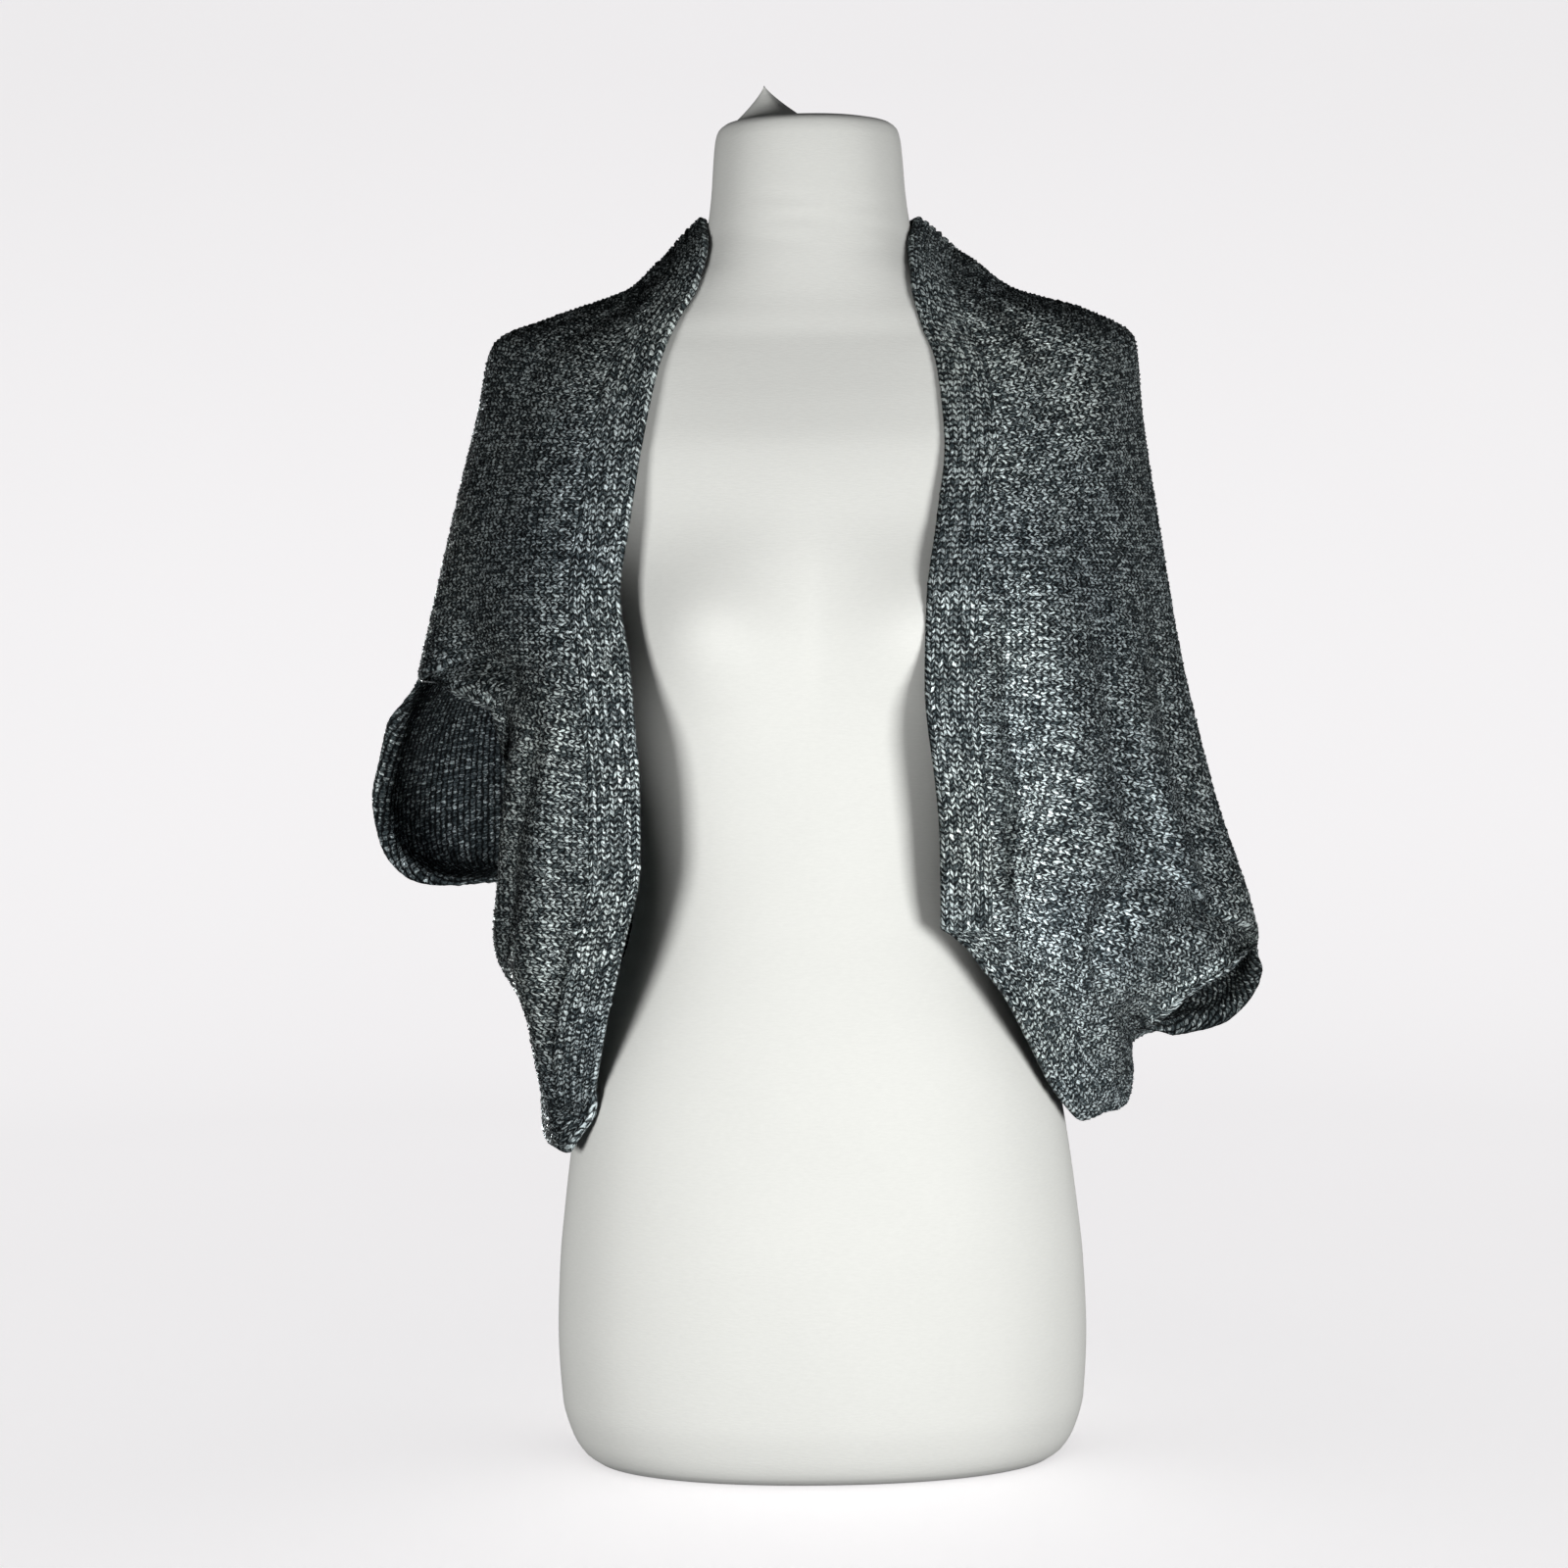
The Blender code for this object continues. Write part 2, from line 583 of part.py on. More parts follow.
def make_form(material):
    """The form as one solid, from its flat base to the top of the neck."""
    rings = [form_ring(row[0], FORM_RING_POINTS) for row in FORM_SECTIONS]
    n = FORM_RING_POINTS
    faces = [tuple(range(n - 1, -1, -1))]
    for k in range(len(rings) - 1):
        for i in range(n):
            j = (i + 1) % n
            faces.append((k * n + i, k * n + j, (k + 1) * n + j, (k + 1) * n + i))
    top = (len(rings) - 1) * n
    faces.append(tuple(range(top, top + n)))
    return add_object("dress_form", np.concatenate(rings), faces, material)


def peak_ring(share, inward, base):
    """One ring of the cover's point, hollow-sided between its foot and its tip."""
    turn = 2 * math.pi * np.arange(PEAK_POINTS) / PEAK_POINTS
    size = (1 - share) ** 1.25
    reach_x = (PEAK["half_width"] - inward * 1.6) * size
    reach_y = (PEAK["half_depth"] - inward) * size * (0.35 + 0.65 * np.abs(np.sin(turn)))
    x = PEAK["x"] + (PEAK["tip_x"] - PEAK["x"]) * share + reach_x * np.cos(turn)
    y = PEAK["y"] + (PEAK["tip_y"] - PEAK["y"]) * share + reach_y * np.sin(turn)
    tip = PEAK_TIP - inward * 1.8
    z = np.full(PEAK_POINTS, base + (tip - base) * share)
    return np.stack([x, y, z], axis=1)


def make_peak(material):
    """The cover's point: a thin hollow fold of jersey, open underneath."""
    n = PEAK_POINTS
    points = []
    faces = []
    for inward in (0.0, PEAK_WALL):
        start = len(points)
        for k in range(PEAK_RINGS):
            points.extend(peak_ring(k / PEAK_RINGS, inward, PEAK_BASE))
        points.append(np.mean(peak_ring(1.0, inward, PEAK_BASE), axis=0))
        skin = []
        for k in range(PEAK_RINGS - 1):
            row = start + k * n
            skin += [(row + i, row + (i + 1) % n, row + n + (i + 1) % n, row + n + i) for i in range(n)]
        row = start + (PEAK_RINGS - 1) * n
        skin += [(row + i, row + (i + 1) % n, row + n) for i in range(n)]
        faces += [face[::-1] for face in skin] if inward else skin
    inner = PEAK_RINGS * n + 1
    faces += [((i + 1) % n, i, inner + i, inner + (i + 1) % n) for i in range(n)]
    return add_object("cover_peak", points, faces, material)


def main():
    for old in list(bpy.data.objects):
        bpy.data.objects.remove(old)
    jersey = plain_material("form_jersey", (0.80, 0.79, 0.75), 0.85)
    yarn = plain_material("panel_yarn", (0.085, 0.095, 0.105), 0.8)
    band_yarn = plain_material("band_yarn", (0.075, 0.085, 0.095), 0.8)
    make_form(jersey)
    make_peak(jersey)
    cloth = make_cloth()
    grids = [(cloth["right_front"], 1), (cloth["left_front"], -1), (cloth["back"], 1)]
    grids += [(cloth["opening"], -1), (cloth["hem"], 1)]
    total = shared_normals(grids)
    front_ends = {"first_line": SEAM_GAP, "first_point": SEAM_GAP}
    front_ends.update({"last_point": SIDE_SEAM_GAP, "last_line": SIDE_SEAM_GAP})
    back_ends = {"first_line": SEAM_GAP, "last_line": SEAM_GAP}
    back_ends.update({"first_point": SIDE_SEAM_GAP, "last_point": SIDE_SEAM_GAP})
    make_panel("right_front", cloth["right_front"], 1, total, front_ends, yarn)
    make_panel("left_front", cloth["left_front"], -1, total, front_ends, yarn)
    make_panel("back", cloth["back"], 1, total, back_ends, yarn)
    band_ends = {"first_line": SEAM_GAP, "last_line": SEAM_GAP, "last_point": SEAM_GAP}
    make_band("neck_and_front_band", cloth["opening"], -1, total, band_ends, band_yarn)
    make_band("hem_band", cloth["hem"], 1, total, band_ends, band_yarn)


main()
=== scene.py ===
# %% [markdown]
# # A knitted shrug cardigan on a dress form
# This lesson dresses a plain model. The plain model has the right sizes and places, and here each of its
# pieces gets its real surface: thousands of knitted loops, a jersey cover, soft light and a pale studio.
# Sizes are in millimetres until a mesh is made, and "right" and "left" are the wearer's.

# %% Open the plain model
import math

import bpy
import numpy as np
from mathutils import Matrix, Vector


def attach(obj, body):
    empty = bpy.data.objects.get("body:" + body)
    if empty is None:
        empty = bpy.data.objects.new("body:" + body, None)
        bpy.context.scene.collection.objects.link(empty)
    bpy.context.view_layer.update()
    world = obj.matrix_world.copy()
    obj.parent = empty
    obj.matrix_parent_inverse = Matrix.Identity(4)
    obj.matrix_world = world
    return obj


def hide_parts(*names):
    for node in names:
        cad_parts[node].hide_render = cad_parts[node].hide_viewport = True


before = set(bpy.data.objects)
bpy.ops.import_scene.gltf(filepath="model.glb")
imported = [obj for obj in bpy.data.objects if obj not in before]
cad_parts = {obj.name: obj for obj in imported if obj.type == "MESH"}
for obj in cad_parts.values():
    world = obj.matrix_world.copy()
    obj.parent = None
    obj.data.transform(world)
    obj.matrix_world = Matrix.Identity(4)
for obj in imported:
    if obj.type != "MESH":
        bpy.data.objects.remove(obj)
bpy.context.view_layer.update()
MM = 0.001
print("pieces to dress:", sorted(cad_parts))

# %% [markdown]
# ## Where the picture is taken from
# A long lens, about two metres away and a little above the waist, keeps the form's proportions calm. The
# camera is turned by less than a degree, as a camera in the hand is. Its place comes first, so that every
# later look is the same.

# %% Camera
CAMERA_AT = (-18.5, -1900.0, 440.0)
CAMERA_AIM = (-18.5, 0.0, 393.0)
CAMERA_LENS = 74.66
CAMERA_ROLL = math.radians(-0.72)

camera = bpy.data.cameras.new("camera")
camera.sensor_width = 36
camera.lens = CAMERA_LENS
camera.clip_end = 30
viewer = bpy.data.objects.new("camera", camera)
bpy.context.scene.collection.objects.link(viewer)
ahead = (Vector(CAMERA_AIM) - Vector(CAMERA_AT)).normalized()
level = Vector((1, 0, 0))
upright = level.cross(ahead)
across_view = level * math.cos(CAMERA_ROLL) + upright * math.sin(CAMERA_ROLL)
up_view = upright * math.cos(CAMERA_ROLL) - level * math.sin(CAMERA_ROLL)
turned = Matrix((across_view, up_view, -ahead)).transposed().to_4x4()
viewer.matrix_world = Matrix.Translation(Vector(CAMERA_AT) * MM) @ turned
bpy.context.scene.camera = viewer
print("camera", round(CAMERA_LENS, 1), "mm lens,", round(-CAMERA_AT[1] * MM, 2), "m in front")

# %% [markdown]
# ## Curves that a maker can steer
# Every soft shape here is drawn through a short table of sizes. A curve that passes smoothly through the
# numbers, and never swings past them, keeps a shoulder or a hem as steady as a paper pattern does.

# %% Smooth curves through tables


def table(columns, rows):
    """The rows of a table as one array for each named column."""
    return dict(zip(columns, np.array(rows, float).T))


def from_knot(i, t, span, values, slopes):
    """A smooth way from one knot to the next, with the slopes of both."""
    start = (1 + 2 * t) * (1 - t) ** 2 * values[i] + t * (1 - t) ** 2 * span * slopes[i]
    end = t * t * (3 - 2 * t) * values[i + 1] - t * t * (1 - t) * span * slopes[i + 1]
    return start + end


def smooth_through(at, known, values):
    """A curve through the known values that never overshoots them."""
    known = np.asarray(known, float)
    values = np.asarray(values, float)
    steps = np.diff(known)
    slopes = np.diff(values) / steps
    same_way = slopes[:-1] * slopes[1:] > 0
    total = np.where(same_way, slopes[:-1] + slopes[1:], 1)
    middle = np.where(same_way, 2 * slopes[:-1] * slopes[1:] / total, 0)
    tangents = np.concatenate([slopes[:1], middle, slopes[-1:]])
    i = np.clip(np.searchsorted(known, at) - 1, 0, len(steps) - 1)
    t = np.clip((at - known[i]) / steps[i], 0, 1)
    return from_knot(i, t, steps[i], values, tangents)


def unit(way):
    """The same direction with a length of one."""
    return way / (np.linalg.norm(way, axis=-1, keepdims=True) + 1e-12)


def bump(at, middle, width):
    """A soft hill, one high at its middle."""
    return np.exp(-(((at - middle) / width) ** 2))


print("half way from 0 to 10:", float(smooth_through(0.5, (0, 1), (0, 10))))

# %% [markdown]
# ## The dress form
# A real form is a padded shell under a tight jersey cover. Its sections are level ovals, a little squarer
# than an ellipse. Lofting many of them gives a smooth body. The bust is added as two soft hills in front,
# with the shallow line that the cover shows underneath it, and a few strained wrinkles round the neck.

# %% Sections of the form
FORM_RING_POINTS = 200
FORM_SQUARENESS = 2.15
FORM_COLUMNS = ("height", "half_width", "front", "back")
FORM_SECTIONS = (
    (0, 133, 81, 88),
    (5, 140, 88, 95),
    (16, 147, 93, 101),
    (36, 152.5, 97, 106),
    (75, 154.5, 98, 109),
    (115, 153, 98, 111),
    (150, 149.5, 97, 111),
    (185, 145, 95, 107),
    (217, 139.5, 92, 97),
    (248, 130, 88, 88),
    (281, 117.5, 83, 78),
    (314, 108, 79, 72),
    (343, 105.5, 78, 71),
    (378, 110, 80, 75),
    (417, 119.5, 85, 82),
    (450, 128, 91, 88),
    (482, 135, 96, 92),
    (515, 144, 97, 95),
    (548, 162, 94, 98),
    (582, 180, 88, 97),
    (607, 184.5, 79, 91),
    (626, 184, 71, 84),
    (639, 178, 65.5, 77.5),
    (649, 160, 61.5, 73),
    (659, 135, 59, 69),
    (671, 104, 56, 64),
    (683, 83, 54, 60),
    (696, 68, 52.5, 57),
    (710, 60.5, 51.5, 54),
    (735, 56.5, 51, 51.5),
    (755, 55, 50.5, 50),
    (765, 54, 50, 49.5),
    (771, 52.5, 48.5, 48),
    (774.5, 49, 45, 45),
    (776, 43, 39, 39),
)
print("form sections:", len(FORM_SECTIONS), "up to", FORM_SECTIONS[-1][0], "mm high")

# %% [markdown]
# The bust and the wrinkles are soft hills and dents, added to the plain sections.

# %% Bust and wrinkles of the form
BUST = {"x": 66.0, "height": 480.0, "reach": 27.0, "spread_x": 46.0, "spread_z": 42.0}
FORM = table(FORM_COLUMNS, FORM_SECTIONS)
NECK_WRINKLES = ((726.0, 6.0, 0.45), (712.0, 5.0, 0.55), (701.0, 7.0, 0.4))
WRINKLE_WANDER = 3.0
UNDERBUST = {"height": 432.0, "rise": 9.0, "width": 3.2, "depth": 0.55}
UNDERBUST_ARCH = (18.0, 26.0)
UNDERBUST_LINE = (45.0, 38.0)


def bust_reach(x, z):
    """How much further forward the bust is than the plain section."""
    side = bump(np.abs(x), BUST["x"], BUST["spread_x"])
    return BUST["reach"] * side * bump(z, BUST["height"], BUST["spread_z"])


def cover_relief(x, z, front):
    """Wrinkles of the jersey cover: round the neck, and the line under the bust."""
    total = np.zeros_like(x)
    for height, width, depth in NECK_WRINKLES:
        wander = height + WRINKLE_WANDER * np.sin(x * 0.05 + height)
        total -= depth * bump(z, wander, width * 0.45) * (0.55 + 0.45 * np.sin(x * 0.11 + height))
    arch = UNDERBUST["height"] + UNDERBUST["rise"] * bump(np.abs(x), *UNDERBUST_ARCH)
    total -= UNDERBUST["depth"] * bump(z, arch, UNDERBUST["width"]) * bump(np.abs(x), *UNDERBUST_LINE)
    return total * front


def form_ring(height, count):
    """Points of one level section of the form."""
    turn = 2 * math.pi * np.arange(count) / count
    power = 2 / FORM_SQUARENESS
    x = np.sign(np.cos(turn)) * np.abs(np.cos(turn)) ** power
    y = np.sign(np.sin(turn)) * np.abs(np.sin(turn)) ** power
    x = x * smooth_through(height, FORM["height"], FORM["half_width"])
    front = smooth_through(height, FORM["height"], FORM["front"]) + bust_reach(x, height)
    back = smooth_through(height, FORM["height"], FORM["back"])
    facing = np.clip(-y * 3, 0, 1)
    front = front + cover_relief(x, height, facing)
    return np.stack([x, y * np.where(y < 0, front, back), np.full(count, float(height))], axis=1)


bust_ring = form_ring(BUST["height"], FORM_RING_POINTS)
print("round the bust:", round(float(np.linalg.norm(np.diff(bust_ring, axis=0), axis=1).sum())), "mm")

# %% [markdown]
# A small helper turns points and faces into an object. It works in metres, shades the faces smooth, and
# keeps only real corners sharp.

# %% From points and faces to an object


def add_object(name, points, faces, materials, sharp=180.0):
    """A named mesh object from points in millimetres."""
    mesh = bpy.data.meshes.new(name)
    mesh.from_pydata((np.asarray(points) * MM).tolist(), [], faces)
    mesh.update()
    for material in materials:
        mesh.materials.append(material)
    mesh.shade_smooth()
    if sharp < 180:
        mesh.set_sharp_from_angle(angle=math.radians(sharp))
    made = bpy.data.objects.new(name, mesh)
    bpy.context.scene.collection.objects.link(made)
    return made


def triangle_count(piece):
    """How many triangles a piece has."""
    return sum(len(face.vertices) - 2 for face in piece.data.polygons)


# %% [markdown]
# ## Materials from small recipes
# Both yarn materials, and both sides of the knitting, share one recipe, so it is a node group: it says
# how light or dark each leg of each loop is. A second group draws the fine sideways threads of jersey.

# %% Empty groups and materials


def new_group(name, inputs, outputs):
    """An empty shader node group with named sockets."""
    group = bpy.data.node_groups.new(name, "ShaderNodeTree")
    for label, kind, value in inputs:
        socket = group.interface.new_socket(label, in_out="INPUT", socket_type=kind)
        if value is not None:
            socket.default_value = value
    for label, kind in outputs:
        group.interface.new_socket(label, in_out="OUTPUT", socket_type=kind)
    entry = group.nodes.new("NodeGroupInput")
    leave = group.nodes.new("NodeGroupOutput")
    return group, entry, leave


def new_material(name):
    """An empty material, the wiring of its nodes and its shader."""
    material = bpy.data.materials.new(name)
    material.use_nodes = True
    return material, Wiring(material.node_tree), material.node_tree.nodes["Principled BSDF"]


print("materials so far:", len(bpy.data.materials))

# %% [markdown]
# The wiring helper adds a node and links what feeds it in one line, so that a recipe of many nodes reads
# like a sum.

# %% Wiring


class Wiring:
    """Adds nodes to a tree and links them, so that a recipe reads like a sum."""

    def __init__(self, tree):
        self.tree = tree

    def node(self, kind, values=(), **settings):
        made = self.tree.nodes.new(kind)
        for key, value in settings.items():
            setattr(made, key, value)
        self.fill(made, dict(values))
        return made

    def fill(self, node, values):
        for socket, value in values.items():
            self.plug(node.inputs[socket], value)

    def plug(self, socket, value):
        if isinstance(value, bpy.types.NodeSocket):
            self.tree.links.new(value, socket)
        else:
            socket.default_value = value

    def math(self, operation, *values):
        made = self.node("ShaderNodeMath", operation=operation)
        for k, value in enumerate(values):
            self.plug(made.inputs[k], value)
        return made.outputs[0]

    def plus(self, first, second):
        return self.math("ADD", first, second)

    def minus(self, first, second):
        return self.math("SUBTRACT", first, second)

    def times(self, first, second):
        return self.math("MULTIPLY", first, second)

    def times_plus(self, first, second, added):
        return self.math("MULTIPLY_ADD", first, second, added)

    def from_half(self, value):
        """How far the fraction of a value is from a half: 0 at a half, 1 at a whole number."""
        centred = self.minus(self.math("FRACT", value), 0.5)
        return self.times(self.math("ABSOLUTE", centred), 2.0)

    def object_place(self):
        return self.node("ShaderNodeTexCoord").outputs["Object"]

    def noise(self, place, scale, detail, roughness=0.5, output=0):
        settings = {"Vector": place, "Scale": scale, "Detail": detail, "Roughness": roughness}
        return self.node("ShaderNodeTexNoise", settings).outputs[output]

    def stretched_noise(self, first, first_scale, second, second_scale, detail, roughness):
        """Noise over two values, each with its own scale."""
        parts = {0: self.times(first, first_scale), 1: self.times(second, second_scale)}
        return self.noise(self.node("ShaderNodeCombineXYZ", parts).outputs[0], 1.0, detail, roughness)

    def map(self, value, low, high, to_low=0.0, to_high=1.0):
        made = self.node("ShaderNodeMapRange")
        for k, given in enumerate((value, low, high, to_low, to_high)):
            self.plug(made.inputs[k], given)
        return made.outputs[0]

    def smooth(self, value, low, high):
        made = self.node("ShaderNodeMapRange", interpolation_type="SMOOTHSTEP")
        for k, given in enumerate((value, low, high)):
            self.plug(made.inputs[k], given)
        return made.outputs[0]

    def relief(self, shader, height, strength, depth):
        settings = {"Height": height, "Strength": strength, "Distance": depth}
        self.plug(shader.inputs["Normal"], self.node("ShaderNodeBump", settings).outputs[0])

    def mix(self, share, first, second, blend="MIX"):
        made = self.node("ShaderNodeMix", data_type="RGBA", blend_type=blend)
        self.plug(made.inputs["Factor"], share)
        self.plug(made.inputs["A"], first)
        self.plug(made.inputs["B"], second)
        return made.outputs["Result"]


print("wiring:", ", ".join(name for name in vars(Wiring) if not name.startswith("_")))

# %% [markdown]
# ### The knitting recipe
# The surface carries its own map: U counts the loops along a column of knitting, V counts the columns.
# From these the recipe finds which leg of which loop a point is on, and gives each leg its own shade of
# the marled yarn. Small white and silver flecks lie along the legs, and the gaps between legs are painted
# near black, as painted shade.

# %% Group: marled loops
LEG_SLOPE = 0.68
LEG_WIDTH = 0.46
LEG_WIDTH_SPREAD = 0.3
LEG_WIDTH_FUZZ = 0.5
LEG_ENDS_FROM = 0.6
WANDER = {"scale": 1.7, "along": 1.1, "across": 0.45}
MARL_STRENGTH = 2.4
SHADE_SPREAD = 0.55
SHADE_LOW = 0.25
FLECK_EDGE = 0.22
LEAST_SILVER = 0.45
FUZZ_HEIGHT = 0.6
# Near black for the gaps between legs: painted shade.
GAP_SHADE_COLOUR = (0.003, 0.004, 0.005, 1)


def make_loop_group():
    """Colour with painted shade in the gaps, fleck mask and height of marled stockinette, from loop
    coordinates.
    """
    colour = "NodeSocketColor"
    number = "NodeSocketFloat"
    group, entry, leave = new_group(
        "marled_loops",
        [
            ("Loops", "NodeSocketVector", None),
            ("Slant", number, LEG_SLOPE),
            ("Dark", colour, (0.02, 0.024, 0.028, 1)),
            ("Middle", colour, (0.09, 0.1, 0.105, 1)),
            ("Light", colour, (0.6, 0.64, 0.65, 1)),
            ("Fleck Share", number, 0.33),
            # How far the gaps are painted towards near black, as painted shade.
            ("Gap Shade", number, 0.75),
            ("Second Leg", number, -0.12),
        ],
        [("Color", colour), ("Fleck", number), ("Height", number)],
    )
    w = Wiring(group)
    # Which leg of which loop a point is on, after the yarn's small wandering.
    wander = w.noise(entry.outputs["Loops"], scale=WANDER["scale"], detail=3.0, output="Color")
    offset = w.node("ShaderNodeSeparateColor", {0: wander})
    parts = w.node("ShaderNodeSeparateXYZ", {0: entry.outputs["Loops"]})
    along = w.times_plus(w.minus(offset.outputs[0], 0.5), WANDER["along"], parts.outputs[0])
    across = w.times_plus(w.minus(offset.outputs[1], 0.5), WANDER["across"], parts.outputs[1])
    column = w.math("FRACT", across)
    spread = w.math("ABSOLUTE", w.minus(w.times(column, 2.0), 1.0))
    lean = w.times(w.minus(spread, 1.0), entry.outputs["Slant"])
    slanted = w.plus(w.plus(along, 0.5), lean)
    leg = w.times(across, 2.0)
    second = w.math("FLOOR", w.times(column, 2.0))
    from_core = w.from_half(slanted)
    from_middle = w.from_half(leg)
    # Chances for each leg, marl along the yarn, and fuzz.
    ids = w.node("ShaderNodeCombineXYZ", {0: w.math("FLOOR", leg), 1: w.math("FLOOR", slanted), 2: 3.7})
    chance = w.node("ShaderNodeTexWhiteNoise", {"Vector": ids.outputs[0]}, noise_dimensions="3D")
    other = w.node("ShaderNodeSeparateColor", {0: chance.outputs["Color"]})
    marl = w.stretched_noise(slanted, 2.3, leg, 2.1, detail=1.5, roughness=0.5)
    fuzz = w.stretched_noise(slanted, 9.0, leg, 3.0, detail=2.0, roughness=0.7)
    # The body of the leg: one inside its width, nought in the gaps.
    width = w.times_plus(other.outputs[1], LEG_WIDTH_SPREAD, LEG_WIDTH)
    width = w.times_plus(w.minus(fuzz, 0.5), LEG_WIDTH_FUZZ, width)
    edge = w.smooth(from_core, w.minus(width, 0.25), w.plus(width, 0.2))
    core = w.minus(1.0, edge)
    ends = w.minus(1.0, w.smooth(from_middle, LEG_ENDS_FROM, 1.0))
    body = w.times(core, ends)
    # The shade of the yarn, and whether it is a fleck.
    shade = w.times(w.minus(marl, 0.5), MARL_STRENGTH)
    shade = w.plus(shade, w.times_plus(chance.outputs["Value"], SHADE_SPREAD, SHADE_LOW))
    shade = w.times_plus(second, entry.outputs["Second Leg"], shade)
    threshold = w.minus(1.0, entry.outputs["Fleck Share"])
    fleck = w.smooth(shade, w.minus(threshold, FLECK_EDGE), w.plus(threshold, FLECK_EDGE))
    base = w.mix(w.smooth(shade, -0.1, 0.6), entry.outputs["Dark"], entry.outputs["Middle"])
    silver = w.times_plus(other.outputs[0], 1 - LEAST_SILVER, LEAST_SILVER)
    lit = w.mix(w.times(fleck, silver), base, entry.outputs["Light"])
    # Painted shade: the gaps between the legs are mixed towards near black.
    gap_shade = w.times(w.minus(1.0, body), entry.outputs["Gap Shade"])
    w.plug(leave.inputs["Color"], w.mix(gap_shade, lit, GAP_SHADE_COLOUR))
    w.plug(leave.inputs["Fleck"], w.times(w.times(fleck, silver), body))
    w.plug(leave.inputs["Height"], w.times_plus(fuzz, FUZZ_HEIGHT, body))
    return group


loop_group = make_loop_group()
print("group:", loop_group.name, "with", len(loop_group.nodes), "nodes")

# %% [markdown]
# ### The yarn materials
# The yarn is a soft charcoal wool blend with a white and silver thread twisted in. Its flecks are a
# little shinier than the rest, so the metallic share and the roughness follow the fleck mask. A weak
# sheen gives the fuzz.

# %% Yarn materials
YARN_SHADES = {
    "Dark": (0.019, 0.027, 0.031, 1),
    "Middle": (0.105, 0.130, 0.137, 1),
    "Light": (0.88, 0.97, 0.98, 1),
}
YARN_TONES = ((0.86, 0.9, 0.94, 1), (1.1, 1.1, 1.06, 1))


def make_yarn(name, slant, share, gap_shade, depth):
    """A knitted yarn material that reads the loop map of its piece, with painted shade between the legs."""
    material, w, shader = new_material(name)
    loops = w.node("ShaderNodeUVMap", uv_map="loops").outputs[0]
    settings = {"Loops": loops, "Slant": slant, "Fleck Share": share, "Gap Shade": gap_shade}
    knit = w.node("ShaderNodeGroup", {**settings, **YARN_SHADES}, node_tree=loop_group)
    fleck = knit.outputs["Fleck"]
    tone = w.mix(w.map(w.noise(w.object_place(), scale=9.0, detail=3.0), 0.3, 0.7), *YARN_TONES)
    looks = {
        "Base Color": w.mix(1.0, knit.outputs["Color"], tone, "MULTIPLY"),
        "Roughness": w.map(fleck, 0.0, 1.0, 0.85, 0.42),
        "Metallic": w.times(fleck, 0.7),
        "Sheen Weight": 0.02,
        "Sheen Roughness": 0.5,
        "Specular IOR Level": w.map(fleck, 0.0, 1.0, 0.06, 0.5),
    }
    w.fill(shader, looks)
    w.relief(shader, knit.outputs["Height"], strength=0.6, depth=depth)
    return material


PURL_SLOPE = 0.15
# Each yarn: leg slant, share of flecks, strength of the painted shade in the gaps, depth of relief.
yarns = {
    "panel": make_yarn("panel_yarn", LEG_SLOPE, share=0.45, gap_shade=0.97, depth=0.0012),
    "band": make_yarn("band_yarn", LEG_SLOPE, share=0.44, gap_shade=0.96, depth=0.0009),
    "purl": make_yarn("purl_side", PURL_SLOPE, share=0.26, gap_shade=0.97, depth=0.0012),
}
print("yarns:", sorted(yarns))

# %% [markdown]
# ### The jersey cover
# Jersey this fine shows only faint sideways threads and a soft, dry surface.

# %% Group and material: jersey
THREAD_SCALE = (260.0, 260.0, 1100.0)


def make_jersey_group():
    """Fine sideways threads, from object coordinates."""
    number = "NodeSocketFloat"
    group, entry, leave = new_group(
        "jersey_threads",
        [("Place", "NodeSocketVector", None), ("Contrast", number, 0.06)],
        [("Tone", number), ("Height", number)],
    )
    w = Wiring(group)
    place = entry.outputs["Place"]
    stretched = w.node("ShaderNodeMapping", {"Vector": place, "Scale": THREAD_SCALE})
    threads = w.noise(stretched.outputs[0], scale=1.0, detail=3.0)
    broad = w.noise(place, scale=14.0, detail=2.0)
    fine = w.times(w.minus(threads, 0.5), entry.outputs["Contrast"])
    broad_contrast = w.times(entry.outputs["Contrast"], 0.6)
    slow = w.times(w.minus(broad, 0.5), broad_contrast)
    w.plug(leave.inputs["Tone"], w.plus(1.0, w.plus(fine, slow)))
    w.plug(leave.inputs["Height"], threads)
    return group


def make_jersey(name, colour):
    """The cover's material."""
    material, w, shader = new_material(name)
    settings = {"Place": w.object_place(), "Contrast": 0.09}
    knit = w.node("ShaderNodeGroup", settings, node_tree=jersey_group)
    tone = knit.outputs["Tone"]
    grey = w.node("ShaderNodeCombineColor", {channel: tone for channel in range(3)}).outputs[0]
    looks = {
        "Base Color": w.mix(1.0, colour, grey, "MULTIPLY"),
        "Roughness": w.map(tone, 0.9, 1.1, 0.95, 0.8),
        "Specular IOR Level": 0.2,
        "Sheen Weight": 0.1,
    }
    w.fill(shader, looks)
    w.relief(shader, knit.outputs["Height"], strength=0.25, depth=0.0004)
    return material


jersey_group = make_jersey_group()
JERSEY_COLOUR = (0.785, 0.79, 0.755, 1)
jersey = make_jersey("jersey_cover", JERSEY_COLOUR)
print("jersey:", jersey.name, "with the group", jersey_group.name)

# %% [markdown]
# ## Making the form
# The rings go 3.5 mm apart, close enough for the wrinkles to be real dents. The two ends are closed flat,
# and the form is one solid, as its shell and cover are from outside.

# %% Form


def ring_quads(low, high, n):
    """Faces between two rings of n points."""
    return [(low + i, low + (i + 1) % n, high + (i + 1) % n, high + i) for i in range(n)]


